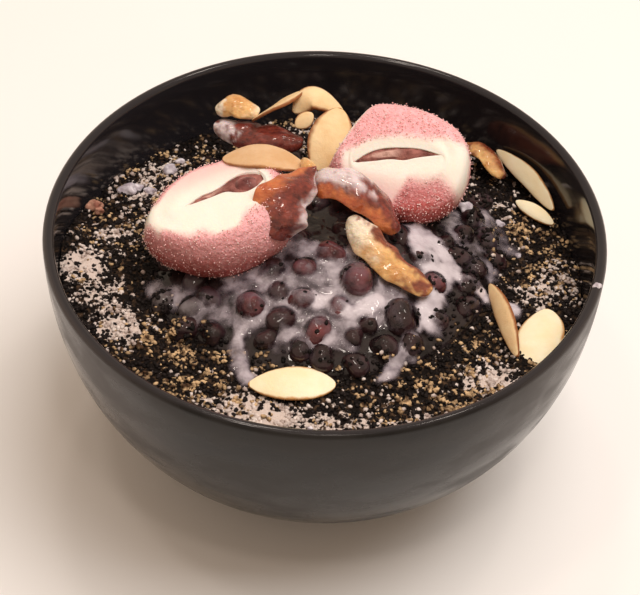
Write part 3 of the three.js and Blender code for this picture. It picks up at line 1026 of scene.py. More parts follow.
@dataclass
class Crumbs:
    """Loose crumbs of one kind, modelled once and strewn over the dessert as one mesh."""

    name: str
    count: int
    radius: tuple[float, float]
    finish: GrainFinish
    flatness: float
    liking: Callable[[np.ndarray, np.ndarray], np.ndarray]
    seed: int
    proud: float = 0.1
    outer: float = 75.6

    def grain(self) -> tuple[np.ndarray, np.ndarray]:
        """Models one crumb.

        Returns:
            Its corners and its triangles.
        """
        deselect()
        bpy.ops.mesh.primitive_ico_sphere_add(subdivisions=1, radius=1)
        piece = taken("crumb_pattern")
        shape = corners(piece)
        shape = shape * (1 + 0.45 * waves(shape, 0.8, self.seed))[:, None]
        faces = np.array([list(face.vertices) for face in piece.data.polygons])
        bpy.data.objects.remove(piece)
        return shape * np.array([1, 0.75, self.flatness]), faces

    def places(self, heap: BeanHeap, draw: np.random.Generator) -> np.ndarray:
        """Draws where the crumbs lie.

        Args:
            heap: The bean heap, on which some of them lie.
            draw: The source of random numbers.

        Returns:
            Their places, one row each.
        """
        found = np.empty((0, 2))
        while len(found) < self.count:
            angle = draw.uniform(-math.pi, math.pi, self.count)
            radius = self.outer * np.sqrt(draw.uniform(0, 1, self.count))
            x, y = radius * np.cos(angle), radius * np.sin(angle)
            kept = draw.uniform(0, 1, self.count) < self.liking(x, y)
            found = np.vstack([found, np.column_stack([x, y])[kept]])
        x, y = found[:self.count, 0], found[:self.count, 1]
        return np.column_stack([x, y, heap.surface(x, y) + self.proud])

    def build(self, heap: BeanHeap, groups: Groups) -> bpy.types.Object:
        """Copies the crumb to every place with its own size and turn."""
        draw = np.random.default_rng(self.seed)
        shape, faces = self.grain()
        places = self.places(heap, draw)
        sizes = draw.uniform(*self.radius, self.count)
        piece = strewn(self.name, shape, faces, places, sizes, draw)
        finish_form(piece, self.finish.material(groups))
        placed(piece)
        return piece


@dataclass(frozen=True)
class Chunk:
    """A larger crumb that stands out on the ice."""

    x: float
    y: float
    rise: float
    radius: float
    level: float | None = None


WHITE_CHUNKS = (
    Chunk(75.6, -21.4, 0.0, 1.2, 84.8),
    Chunk(-2.0, -77.0, 0.0, 0.8, 84.6),
    Chunk(-60.5, 31.5, 1.0, 2.7),
    Chunk(-57.5, 34.0, 0.8, 1.9),
    Chunk(-53.6, 31.6, 0.6, 1.8),
    Chunk(-48.5, 42.5, 0.8, 2.0),
    Chunk(-45.8, 47.0, 0.7, 1.6),
    Chunk(41.2, 20.5, 0.2, 2.0),
    Chunk(52.3, 22.7, 0.2, 1.6),
    Chunk(57.0, 9.0, 0.1, 1.2),
)
BROWN_CHUNKS = (
    Chunk(-69.3, 21.7, 1.4, 2.3),
    Chunk(-67.6, 19.6, 1.0, 1.5),
)


def set_chunks(
    name: str, chunks: tuple[Chunk, ...], heap: BeanHeap, material: bpy.types.Material
) -> None:
    """Sets larger crumbs on the ice as one mesh.

    Args:
        name: The piece's name.
        chunks: Where they lie.
        heap: The bean heap, on which some of them lie.
        material: Their finish.
    """
    pieces = []
    for number, chunk in enumerate(chunks):
        deselect()
        bpy.ops.mesh.primitive_ico_sphere_add(subdivisions=3, radius=1)
        piece = taken(f"{name}_{number}")
        shape = corners(piece)
        shape = shape * (1 + 0.5 * waves(shape, 0.9, number + 3))[:, None] * chunk.radius
        x, y = np.array([chunk.x]), np.array([chunk.y])
        level = chunk.level or float(heap.surface(x, y)[0]) + chunk.rise
        reshape(piece, shape * np.array([1, 0.8, 0.75]) + np.array([chunk.x, chunk.y, level]))
        pieces.append(piece)
    join_all(name, pieces, material)


def strewn(
    name: str,
    shape: np.ndarray,
    faces: np.ndarray,
    places: np.ndarray,
    sizes: np.ndarray,
    draw: np.random.Generator,
) -> bpy.types.Object:
    """Copies a small shape to many places as one mesh.

    Args:
        name: The piece's name.
        shape: The corners of one copy.
        faces: Its faces, as rows of corner numbers.
        places: Where the copies go, in millimetres.
        sizes: How large each is.
        draw: The source of random numbers for their turns.

    Returns:
        The new object.
    """
    count = len(places)
    turns = np.array([
        np.array(Matrix.Rotation(a, 3, "Z") @ Matrix.Rotation(b, 3, "X"))
        for a, b in zip(draw.uniform(0, math.tau, count), draw.uniform(-0.9, 0.9, count))
    ])
    spread = np.einsum("nij,vj->nvi", turns, shape) * sizes[:, None, None] + places[:, None, :]
    index = faces[None, :, :] + len(shape) * np.arange(count)[:, None, None]
    index = index.reshape(-1, faces.shape[1])
    mesh = bpy.data.meshes.new(name)
    mesh.from_pydata((spread.reshape(-1, 3) * MM).tolist(), [], index.tolist())
    piece = bpy.data.objects.new(name, mesh)
    bpy.context.collection.objects.link(piece)
    return piece


class BeanKind(Enum):
    """How a bean looks."""

    DARK = "dark"
    MAROON = "maroon"
    MILKY = "milky"


@dataclass(frozen=True)
class Bean:
    """A whole bean: its place, its radius and its kind."""

    x: float
    y: float
    radius: float
    kind: BeanKind = BeanKind.DARK
    proud: float = -0.2


BEAN_FORM = (1.14, 0.94, 0.88)
MASH_FOOT = 58.0
MAIN_BEANS = (
    Bean(-14.2, -17.5, 4.4),
    Bean(-19.4, -28.0, 4.4, BeanKind.MAROON, 0.05),
    Bean(-11.9, -24.5, 3.8),
    Bean(-10.7, -32.8, 4.6),
    Bean(-5.4, -27.3, 3.8, BeanKind.MAROON, 0.0),
    Bean(-1.0, -35.9, 4.4, BeanKind.MAROON),
    Bean(1.5, -11.2, 4.5, BeanKind.MAROON),
    Bean(9.8, -20.3, 5.4, BeanKind.MAROON, 0.1),
    Bean(4.2, -28.5, 3.5, BeanKind.MAROON),
    Bean(8.9, -37.0, 3.4),
    Bean(12.4, -33.6, 3.0),
    Bean(21.7, -30.1, 5.2, BeanKind.DARK, 0.05),
    Bean(33.6, 0.8, 3.7),
    Bean(38.0, -2.4, 4.4),
    Bean(-5.3, -17.3, 3.5, BeanKind.MAROON, 0.1),
    Bean(30.7, -16.3, 3.8, BeanKind.MAROON, 0.1),
    Bean(-31.6, -23.5, 4.2),
    Bean(-43.9, -21.7, 4.0, BeanKind.MILKY),
    Bean(-35.7, -25.4, 4.0, BeanKind.MILKY),
    Bean(-37.8, -31.5, 4.2),
    Bean(-30.1, -34.0, 4.0),
    Bean(16.8, -39.1, 4.4),
    Bean(0.4, -43.6, 4.2),
    Bean(9.4, -44.6, 4.0),
    Bean(24.5, -36.1, 4.0),
    Bean(-5.7, -41.0, 4.0),
    Bean(-14.9, -38.0, 3.4),
    Bean(27.0, -8.8, 3.8),
    Bean(42.6, 18.6, 4.4),
    Bean(46.0, 31.0, 4.2),
    Bean(49.0, 3.4, 4.0),
    Bean(43.0, -4.0, 3.8),
    Bean(40.5, -19.5, 3.8),
    Bean(31.5, -27.5, 3.6),
    Bean(-31.0, 48.0, 4.2),
    Bean(-37.0, 44.5, 4.2),
    Bean(-26.5, 42.5, 4.2),
)


@dataclass
class BeanHeap:
    """The heap: mash in syrup under whole beans."""

    beans: tuple[Bean, ...] = MAIN_BEANS
    extra: int = 52
    spacing: float = 7.0
    sides: int = 20
    rings: int = 14
    every: list[Bean] = field(default_factory=list)

    def __post_init__(self) -> None:
        """Adds beans where the photograph shows none."""
        draw = np.random.default_rng(SEED)
        self.every = list(self.beans)
        wanted = len(self.every) + self.extra
        for _ in range(6000):
            if len(self.every) == wanted:
                break
            angle = draw.uniform(-math.pi, math.pi)
            radius = (float(heap_reach(np.array([angle]))[0]) - 2.5) * draw.uniform() ** 0.4
            x, y = radius * math.cos(angle), radius * math.sin(angle)
            size = draw.uniform(3.6, 4.6)
            clear = all(math.hypot(x - bean.x, y - bean.y) > self.spacing for bean in self.every)
            if clear and not (-30 < x < 30 and y < -8):
                self.every.append(Bean(x, y, size, proud=-0.1 if y > 20 else -0.3))

    def level(self, bean: Bean) -> float:
        """Gives the height of a bean's middle."""
        base = heap_height(np.array([bean.x]), np.array([bean.y]))
        return float(base[0]) + bean.proud * bean.radius

    def lumps(self, x: np.ndarray, y: np.ndarray) -> np.ndarray:
        """Gives how far the mash stands over its level."""
        flat = np.column_stack([x, y, np.zeros_like(x)])
        return 0.8 * waves(flat, 7, 2) + 0.5 * waves(flat, 3, 4) + 0.2 * waves(flat, 1.4, 6)

    def bean_tops(self, x: np.ndarray, y: np.ndarray) -> np.ndarray:
        """Gives the height of the bean over each place, or 0 where there is none."""
        tops = np.zeros_like(x)
        for bean in self.every:
            away = np.hypot(x - bean.x, y - bean.y) / (bean.radius * 1.04)
            rise = BEAN_FORM[2] * bean.radius * np.sqrt(np.clip(1 - away ** 2, 0, 1))
            tops = np.where(away < 1, np.maximum(tops, self.level(bean) + rise), tops)
        return tops

    def surface(self, x: np.ndarray, y: np.ndarray) -> np.ndarray:
        """Gives the height of whatever is on top at each place: ice, mash or bean."""
        ice = ice_height(x, y) + crumble(x, y)
        mash = np.where(heap_part(x, y) < 1, heap_height(x, y) + self.lumps(x, y), 0)
        return np.maximum(np.maximum(ice, mash), self.bean_tops(x, y))

    def mash(self, groups: Groups) -> None:
        """Shapes the mash between the beans and down into the ice."""
        piece = ball("bean_mash", 160, 90)
        start = corners(piece)
        polar = np.arccos(np.clip(start[:, 2], -1, 1)) / math.pi
        angle = np.arctan2(start[:, 1], start[:, 0])
        share = np.where(polar <= 0.5, polar * 2, 2 - polar * 2)
        radius = heap_reach(angle) * (share * 1.01)
        x, y = radius * np.cos(angle), radius * np.sin(angle)
        top = heap_height(x, y) + self.lumps(x, y)
        z = np.where(polar <= 0.5, top, MASH_FOOT)
        reshape(piece, np.column_stack([x, y, z]))
        finish = BeanFinish(
            "bean_mash", tint(17, 11, 12), tint(38, 27, 28), tint(86, 74, 80), 0.25
        )
        finish_form(piece, finish.material(groups))
        placed(piece, ["red_beans"])

    def whole(self, kind: BeanKind, finish: BeanFinish, groups: Groups) -> None:
        """Shapes the beans of one kind, each an egg with a dent along its side.

        Args:
            kind: The kind to shape.
            finish: Its finish.
            groups: The shared effects.
        """
        draw = np.random.default_rng(SEED + len(kind.value))
        pieces = []
        for number, bean in enumerate(bean for bean in self.every if bean.kind is kind):
            piece = ball(f"bean_{kind.value}_{number}", self.sides, self.rings)
            shape = corners(piece)
            dent = 0.22 * np.exp(-((shape[:, 0] / 0.55) ** 2)) * step(shape[:, 1], 0.2, 1)
            shape[:, 1] -= dent
            shape *= np.array(BEAN_FORM) * bean.radius
            shape += (0.55 * waves(shape, 3.4, number))[:, None] * shape / bean.radius
            turn = Matrix.Rotation(draw.uniform(0, math.tau), 3, "Z")
            tip = Matrix.Rotation(draw.uniform(-0.5, 0.5), 3, "Y")
            shape = shape @ np.array(turn @ tip).T
            reshape(piece, shape + np.array([bean.x, bean.y, self.level(bean)]))
            pieces.append(piece)
        join_all(f"beans_{kind.value}", pieces, finish.material(groups))

    def build(self, groups: Groups) -> None:
        """Builds the mash and the beans of each kind."""
        self.mash(groups)
        finishes = {
            BeanKind.DARK: BeanFinish(
                "bean_dark", tint(22, 12, 14), tint(54, 30, 33), tint(110, 96, 104), 0.35
            ),
            BeanKind.MAROON: BeanFinish(
                "bean_maroon", tint(54, 22, 26), tint(106, 50, 52), tint(140, 118, 130), 0.35
            ),
            BeanKind.MILKY: BeanFinish(
                "bean_milky", tint(60, 50, 50), tint(100, 90, 90), tint(140, 130, 132), 0.6
            ),
        }
        for kind, finish in finishes.items():
            self.whole(kind, finish, groups)


@dataclass(frozen=True)
class Pour:
    """A run of milk: its path over the heap, its half width and how deep it is."""

    path: tuple[tuple[float, float], ...]
    reach: float
    depth: float
    strength: float


POURS = (
    Pour(((-22, -20), (-9, -21), (3, -23), (16, -25), (22, -18)), 9.5, 0.8, 0.5),
    Pour(((-18, -30), (-6, -32), (4, -33), (15, -29)), 7.5, 0.8, 0.52),
    Pour(((36, 14), (42, 6), (47, -3)), 6.0, 0.4, 0.42),
    Pour(((47, 22), (51, 15), (53, 9)), 4.5, 0.4, 0.4),
    Pour(((-7, -27), (2, -29), (8, -31), (15, -27)), 4.0, 1.2, 0.95),
    Pour(((-9, -38), (0, -39), (7, -40)), 5.0, 0.7, 0.5),
    Pour(((26, 1), (27.5, -5), (30, -10), (31.5, -20), (27.6, -29.6)), 5.4, 1.4, 0.95),
    Pour(((30, 1), (36, -8), (34, -12)), 4.4, 1.2, 0.9),
    Pour(((34, -10), (41.6, -12.5), (47, -13.8), (54, -18)), 3.0, 1.2, 1.0),
    Pour(((27, -30), (25, -37), (20.5, -43.5), (17.5, -49)), 2.8, 0.8, 0.7),
    Pour(((-23, -22), (-22.5, -32), (-22.5, -41), (-19.8, -50)), 3.6, 0.7, 0.55),
    Pour(((-46, -18), (-38, -24), (-33, -29), (-26, -32)), 5.0, 0.6, 0.42),
    Pour(((-12, -8), (0, -13), (8, -13)), 7.0, 0.7, 0.5),
)


@dataclass
class Milk:
    """The condensed milk that is poured over the beans."""

    low: tuple[float, float] = (-54, -56)
    high: tuple[float, float] = (60, 28)
    grid: float = 0.6
    finish: MilkFinish = field(default_factory=MilkFinish)

    def layer(self, x: np.ndarray, y: np.ndarray) -> tuple[np.ndarray, np.ndarray]:
        """Gives the milk's depth and its strength at each place."""
        depth = np.zeros_like(x)
        strength = np.zeros_like(x)
        flat = np.column_stack([x, y, np.zeros_like(x)])
        wobble = 1 + 0.5 * waves(flat, 6, 9) + 0.35 * waves(flat, 2.6, 12)
        for pour in POURS:
            way = glide(pour.path, np.linspace(0, 1, 30))
            away = np.min(np.hypot(x[:, None] - way[:, 0], y[:, None] - way[:, 1]), axis=1)
            share = np.clip(1 - away / (pour.reach * wobble), 0, 1)
            depth = np.maximum(depth, pour.depth * np.sqrt(share))
            strength = np.maximum(strength, pour.strength * step(share, 0.0, 0.7))
        return depth, strength

    def build(self, heap: BeanHeap, groups: Groups) -> None:
        """Lays a fine grid over the heap, drapes it and cuts away what holds no milk."""
        wide, deep = self.high[0] - self.low[0], self.high[1] - self.low[1]
        deselect()
        bpy.ops.mesh.primitive_grid_add(
            x_subdivisions=round(wide / self.grid), y_subdivisions=round(deep / self.grid), size=2
        )
        piece = taken("milk_pool")
        start = corners(piece)
        x = self.low[0] + (start[:, 0] + 1) / 2 * wide
        y = self.low[1] + (start[:, 1] + 1) / 2 * deep
        flat = np.column_stack([x, y, np.zeros_like(x)])
        depth, strength = self.layer(x, y)
        mash = heap_height(x, y) + 0.6 * heap.lumps(x, y)
        base = np.where(heap_part(x, y) < 1, mash, ice_height(x, y) + 0.6 * crumble(x, y))
        pool = base + 0.9 + depth + 0.3 * waves(flat, 2.2, 19)
        veil = 0.1 + 0.45 * waves(flat, 5, 17) + 0.5 * (np.clip(strength, 0, 1) - 0.55)
        over = heap.bean_tops(x, y) + np.minimum(veil, 0.35)
        softness = 0.35
        both = np.maximum(pool, over) + softness * np.log1p(np.exp(-np.abs(pool - over) / softness))
        reshape(piece, np.column_stack([x, y, both]))
        on_bean = step(over - pool, -0.5, 0.8)
        mark(piece, "depth", strength * (1 - 0.65 * on_bean))
        with editing(piece):
            bpy.ops.mesh.select_all(action="DESELECT")
        for face in piece.data.polygons:
            face.select = bool(np.max(strength[list(face.vertices)]) <= 0.02)
        bpy.ops.object.mode_set(mode="EDIT")
        bpy.ops.mesh.delete(type="FACE")
        bpy.ops.mesh.select_all(action="SELECT")
        bpy.ops.mesh.delete_loose()
        bpy.ops.object.mode_set(mode="OBJECT")
        finish_form(piece, self.finish.material(groups))
        placed(piece)


@dataclass(frozen=True)
class Slit:
    """The slit in a cake's cut face, in places on the face, from its left end to its right."""

    upper: tuple[tuple[float, float], ...]
    lower: tuple[tuple[float, float], ...]

    def edge(self, turn: np.ndarray, share: np.ndarray) -> tuple[np.ndarray, np.ndarray]:
        """Gives the slit's outline at a turn, drawn in towards its middle by share."""
        along = np.linspace(0, 1, 80)
        upper, lower = glide(self.upper, along).T, glide(self.lower, along).T
        first, last = upper[0, 0], upper[0, -1]
        u = first + (last - first) * (1 + np.cos(turn)) / 2
        above, below = np.interp(u, *upper), np.interp(u, *lower)
        middle = (above + below) / 2
        v = middle + (above - below) / 2 * np.sign(np.sin(turn)) * np.abs(np.sin(turn)) ** 0.3
        centre = (first + last) / 2
        held = centre + share * (u - centre)
        spine = (np.interp(held, *upper) + np.interp(held, *lower)) / 2
        return held, spine + share * (v - middle)


@dataclass(frozen=True)
class Chop:
    """A second straight cut of a rice cake."""

    at: Point
    normal: Point


@dataclass
class RiceCake:
    """Half a filled rice cake, lying with its cut face up."""

    name: str
    centre: Point
    long: Point
    normal: Point
    length: float
    breadth: float
    depth: float
    nip: float
    slit: Slit
    peel_above: tuple[tuple[float, float], ...]
    peel_below: tuple[tuple[float, float], ...]
    skin_starts: tuple[float, float]
    cream_end: tuple[float, float]
    blush: tuple[float, float]
    pale: tuple[float, float]
    # Heights over which the skin darkens to deep rose: part its colour, part painted shade.
    low_rose_and_shade: tuple[float, float]
    roof: float = 0.0
    chop: Chop | None = None
    bean: tuple[float, float, float] | None = None
    sugar_grains: int = 3200
    squareness: float = 2.3
    segments: int = 150
    rings: int = 120

    # Shares of the way from pole to pole: the slit's pocket, then the cut face, then the skin
    pocket_end = 0.16
    face_end = 0.46
    section = (
        (0.7, 0.0), (0.79, 0.12), (0.87, 0.95), (0.95, 3.4), (1.0, 7.2), (0.97, 11.5), (0.84, 15.5),
        (0.54, 18.6), (0.0, 19.4),
    )

    def axes(self) -> tuple[np.ndarray, np.ndarray, np.ndarray]:
        """Gives the directions along the cut face, across it and out of it."""
        along = unit(self.long)
        out = np.asarray(self.normal, dtype=float)
        out = unit(out - np.dot(out, along) * along)
        return along, np.cross(out, along), out

    def world(self, u: np.ndarray, v: np.ndarray, depth: np.ndarray) -> np.ndarray:
        """Turns places on the cake into places in the bowl."""
        along, across, out = self.axes()
        flat = u[:, None] * along + v[:, None] * across - depth[:, None] * out
        return np.asarray(self.centre) + flat

    def outline(self, turn: np.ndarray, share: np.ndarray) -> tuple[np.ndarray, np.ndarray]:
        """Gives the cake's outline at a turn, scaled by share."""
        c, s = np.cos(turn), np.sin(turn)
        p = self.squareness
        full = (np.abs(c) ** p + np.abs(s) ** p) ** (-1 / p)
        narrow = 1 - self.nip * np.clip(-c, 0, 1) ** 2
        return c * full * share * self.length / 2, s * full * narrow * share * self.breadth / 2

    def chopped(self, places: np.ndarray) -> tuple[np.ndarray, np.ndarray]:
        """Moves what lies past the second cut onto it, with a soft edge.

        Args:
            places: Places in the bowl.

        Returns:
            The new places, and how far each was past the cut.
        """
        if self.chop is None:
            return places, np.full(len(places), -9.0)
        out = unit(self.chop.normal)
        past = (places - np.asarray(self.chop.at)) @ out
        softness = 0.7
        held = -softness * np.log1p(np.exp(-past / softness))
        return places + (held - past)[:, None] * out, past

    def peeled(self, u: np.ndarray, v: np.ndarray, places: np.ndarray) -> np.ndarray:
        """Gives how much of the face is skin by the edges that the skin has on it."""
        rough = 0.5 * waves(places, 4, 31) + 0.4 * waves(places, 1.5, 33)
        above = v - np.interp(u, *zip(*self.peel_above)) + rough
        below = np.interp(u, *zip(*self.peel_below)) - v + rough
        return np.maximum(step(above, -1.6, 2.4), step(below, -2.6, 3.4))

    def build(self, material: bpy.types.Material, sugar: bpy.types.Material) -> None:
        """Shapes the cake from a sphere whose upper pole is the floor of the slit.

        Args:
            material: The cake's finish.
            sugar: The finish of the sugar on its skin.
        """
        piece = ball(f"rice_cake_{self.name}_soft", self.segments, self.rings)
        start = corners(piece)
        way = np.arccos(np.clip(start[:, 2], -1, 1)) / math.pi
        turn = -np.arctan2(start[:, 1], start[:, 0])
        pocket = np.clip(way / self.pocket_end, 0, 1)
        face = np.clip((way - self.pocket_end) / (self.face_end - self.pocket_end), 0, 1)
        side = np.clip((way - self.face_end) / (1 - self.face_end), 0, 1)
        slit_share = np.interp(pocket, [0, 0.5, 0.75, 1], [0, 0.86, 0.97, 1.06])
        slit_u, slit_v = self.slit.edge(turn, slit_share)
        curve = glide(self.section, side)
        rim_u, rim_v = self.outline(turn, np.maximum(curve[:, 0], 0))
        u = slit_u * (1 - face) + rim_u * face
        v = slit_v * (1 - face) + rim_v * face
        sunk = np.interp(pocket, [0, 0.5, 0.8, 1], [2.2, 2.2, 0.5, 0.0])
        dome = -0.3 * np.sin(math.pi * face) ** 2
        depth = np.where(side > 0, curve[:, 1] * self.depth / 19.4, sunk + dome)
        roof = np.clip(v - np.interp(u, *zip(*self.peel_above)), 0, 12)
        depth = depth + self.roof * roof * (1 - side) * step(way, 0.2, 0.4)
        places = self.world(u, v, depth)
        _, _, out = self.axes()
        soft = 0.5 * waves(places, 12, 4) + 0.12 * waves(places, 4.5, 7)
        places = places + (soft * step(way, 0.15, 0.4))[:, None] * out * 0.8
        peeled = self.peeled(u, v, places) * step(way, 0.2, 0.3)
        late = side - 0.3 * step(u, *self.cream_end)
        rough = 0.03 * waves(places, 4, 21)
        skin = np.maximum(peeled, step(late + rough, *self.skin_starts))
        away = places - np.asarray(self.centre)
        away = away / np.maximum(np.linalg.norm(away, axis=1), 1)[:, None]
        bumps = 0.35 * waves(places, 5, 15) + 0.22 * waves(places, 1.3, 16)
        places = places + (skin * bumps * step(way, 0.2, 0.3))[:, None] * away
        places, past = self.chopped(places)
        reshape(piece, places)
        skin = skin * step(past, 0.9, -0.9)
        mark(piece, "skin", skin)
        mark(piece, "blush", 0.85 * step(v, *self.blush))
        # Darker towards the bottom by height: part the skin's colour, part painted shade.
        mark(piece, "low_rose_and_shade", step(places[:, 2] + 1.2 * waves(places, 6, 27), *self.low_rose_and_shade))
        finish_form(piece, material)
        placed(piece, [f"rice_cake_{self.name}"])
        self.dust(places, skin, sugar)

    def dust(self, places: np.ndarray, skin: np.ndarray, material: bpy.types.Material) -> None:
        """Strews grains of sugar over the skin.

        Args:
            places: The cake's vertices.
            skin: How much of each is skin.
            material: The sugar's finish.
        """
        draw = np.random.default_rng(len(self.name))
        free = places[(skin > 0.5) & (places[:, 2] > ice_height(places[:, 0], places[:, 1]))]
        chosen = free[draw.integers(0, len(free), self.sugar_grains)]
        spots = chosen + draw.normal(0, 0.35, chosen.shape)
        deselect()
        bpy.ops.mesh.primitive_cube_add(size=1)
        pattern = taken("sugar_pattern")
        shape = corners(pattern)
        faces = np.array([list(face.vertices) for face in pattern.data.polygons])
        bpy.data.objects.remove(pattern)
        name = f"sugar_on_{self.name}"
        piece = strewn(name, shape, faces, spots, draw.uniform(0.14, 0.32, len(spots)), draw)
        finish_form(piece, material)
        placed(piece)

    def fill(self, material: bpy.types.Material) -> None:
        """Shapes the paste that fills the slit to just under its lips."""
        piece = ball(f"bean_filling_{self.name}_mash", 72, 48)
        start = corners(piece)
        turn = -np.arctan2(start[:, 1], start[:, 0])
        share = np.hypot(start[:, 0], start[:, 1])
        u, v = self.slit.edge(turn, share * 1.02)
        depth = np.where(start[:, 2] > 0, 0.7 - 0.9 * start[:, 2], 0.7 - 3.5 * start[:, 2])
        places = self.world(u, v, depth)
        rough = 0.4 * waves(places, 2.4, 3) + 0.25 * waves(places, 1.0, 5)
        _, _, out = self.axes()
        places = places + rough[:, None] * out * step(start[:, 2], -0.1, 0.2)[:, None]
        reshape(piece, places)
        inside = step(share + 0.25 * waves(places, 3, 8), 0.72, 0.5)
        mark(piece, "pale", inside * step(u, *self.pale))
        finish_form(piece, material)
        placed(piece, [f"bean_filling_{self.name}"])

    def stud(self, material: bpy.types.Material) -> None:
        """Sets a whole bean in the slit, where the cake has one."""
        if self.bean is None:
            return
        piece = ball(f"bean_in_{self.name}", 24, 16)
        start = corners(piece)
        u, v, radius = self.bean
        rough = 1 + 0.12 * waves(start, 0.7, 3)
        level = 1.6 - start[:, 2] * radius * 0.75 * rough
        places = self.world(
            u + start[:, 0] * radius * rough, v + start[:, 1] * radius * 0.85 * rough, level
        )
        reshape(piece, places)
        finish_form(piece, material)
        placed(piece)


@dataclass(frozen=True)
class Shade:
    """Where the colours of a strip change: each pair is where one starts and where it is full.

    Across runs from -1 to 1 and along from 0 to 1.
    """

    peel_across: tuple[float, float] = (0.4, 0.8)
    peel_along: tuple[float, float] = (2.0, 3.0)
    glow_along: tuple[float, float] = (-1.0, -2.0)
    frost_across: tuple[float, float] = (2.0, 3.0)
    frost_along: tuple[float, float] = (3.0, 2.0)


@dataclass
class Strip:
    """A strip that follows a path: a piece of date or a slice of almond."""

    name: str
    path: tuple[Point, ...]
    face: tuple[Point, Point]
    width: float
    thickness: float
    cup: float
    look: Look
    shade: Shade = Shade()
    lean: float = 1.0
    blunt: float = 0.5
    squareness: float = 1.0
    wobble: float = 0.0
    roughness: float = 0.0
    crumple: float = 0.0
    alone: bool = False
    sides: int = 48
    rings: int = 72

    def build(self, material: bpy.types.Material, seed: float) -> None:
        """Shapes the strip from a sphere whose poles are its two ends.

        Args:
            material: Its finish.
            seed: A number that gives it a grain of its own.
        """
        piece = ball(f"{self.name}_thin", self.sides, self.rings)
        start = corners(piece)
        share = (1 - start[:, 2]) / 2
        turn = np.arctan2(start[:, 1], start[:, 0])
        centre = glide(self.path, share)
        along = glide(self.path, np.clip(share + 0.01, 0, 1))
        along = along - glide(self.path, np.clip(share - 0.01, 0, 1))
        along /= np.linalg.norm(along, axis=1)[:, None]
        first, last = (np.asarray(vector, dtype=float) for vector in self.face)
        out = first * (1 - share)[:, None] + last * share[:, None]
        out -= np.sum(out * along, axis=1)[:, None] * along
        out /= np.linalg.norm(out, axis=1)[:, None]
        across = np.cross(out, along)
        swell = np.sin(math.pi * np.clip(share, 0, 1) ** self.lean).clip(0) ** self.blunt
        power = 1 / self.squareness
        side = np.sign(np.cos(turn)) * np.abs(np.cos(turn)) ** power
        rise = np.sign(np.sin(turn)) * np.abs(np.sin(turn)) ** power
        ragged = 1 + self.wobble * waves(centre + 30 * np.sign(side)[:, None], 5, seed)
        reach = swell * self.width / 2 * ragged
        height = (0.55 + 0.45 * swell) * self.thickness / 2 * (swell > 0.001)
        arch = self.cup * swell * (0.5 - side ** 2)
        places = centre + across * (reach * side)[:, None] + out * (height * rise + arch)[:, None]
        if self.crumple:
            folds = waves(places, 5.5, seed + 7) * swell * self.crumple
            places = places + folds[:, None] * out
        if self.roughness:
            bumps = waves(places, 2.0, seed + 2) + 0.6 * waves(places, 0.9, seed + 5)
            places = places + (self.roughness * bumps * swell)[:, None] * out
        reshape(piece, places)
        self.colour(piece, places, share, side, seed)
        mark(piece, "edge", np.maximum(np.abs(side), step(swell, 0.45, 0.1)))
        finish_form(piece, material)
        placed(piece, [] if self.alone else [self.name])

    def colour(
        self,
        piece: bpy.types.Object,
        places: np.ndarray,
        share: np.ndarray,
        side: np.ndarray,
        seed: float,
    ) -> None:
        """Marks where the strip is skin, where it is pale and where it is frosted.

        Args:
            piece: The strip.
            places: Its vertices.
            share: How far along it each is.
            side: How far across it each is.
            seed: The strip's own number.
        """
        rough = 0.3 * waves(places, 3.2, seed + 11) + 0.2 * waves(places, 1.3, seed + 13)
        shade = self.shade
        peel = np.maximum(step(side + rough, *shade.peel_across), step(share + rough, *shade.peel_along))
        mark(piece, "peel", peel)
        mark(piece, "glow", step(share + 0.5 * rough, *shade.glow_along))
        frost = step(side + rough, *shade.frost_across) * step(share + rough, *shade.frost_along)
        mark(piece, "frost", 0.85 * frost)


class Look(Enum):
    """What a strip is: each value is the name of its finish."""

    SKIN = "date_skin"
    FLESH = "date_flesh"
    BRIGHT = "almond_bright"
    PALE = "almond_pale"
    TOASTED = "almond_toasted"


def date(name: str, path: tuple[Point, ...], face: tuple[Point, Point], **more: object) -> Strip:
    """Starts a strip of date: ragged, wrinkled and blunt at its ends."""
    usual = {"wobble": 0.3, "roughness": 0.25, "crumple": 0.8, "blunt": 0.3, "look": Look.FLESH}
    return Strip(f"date_strip_{name}", path, face, **{**usual, **more})


def almond(name: str, path: tuple[Point, ...], face: tuple[Point, Point], **more: object) -> Strip:
    """Starts a slice of almond: thin, flat and pointed at its ends."""
    usual = {
        "thickness": 1.2, "cup": 0.4, "squareness": 2.2, "wobble": 0.06, "roughness": 0.05,
        "blunt": 0.55, "look": Look.PALE,
    }
    return Strip(f"almond_slice_{name}", path, face, **{**usual, **more})


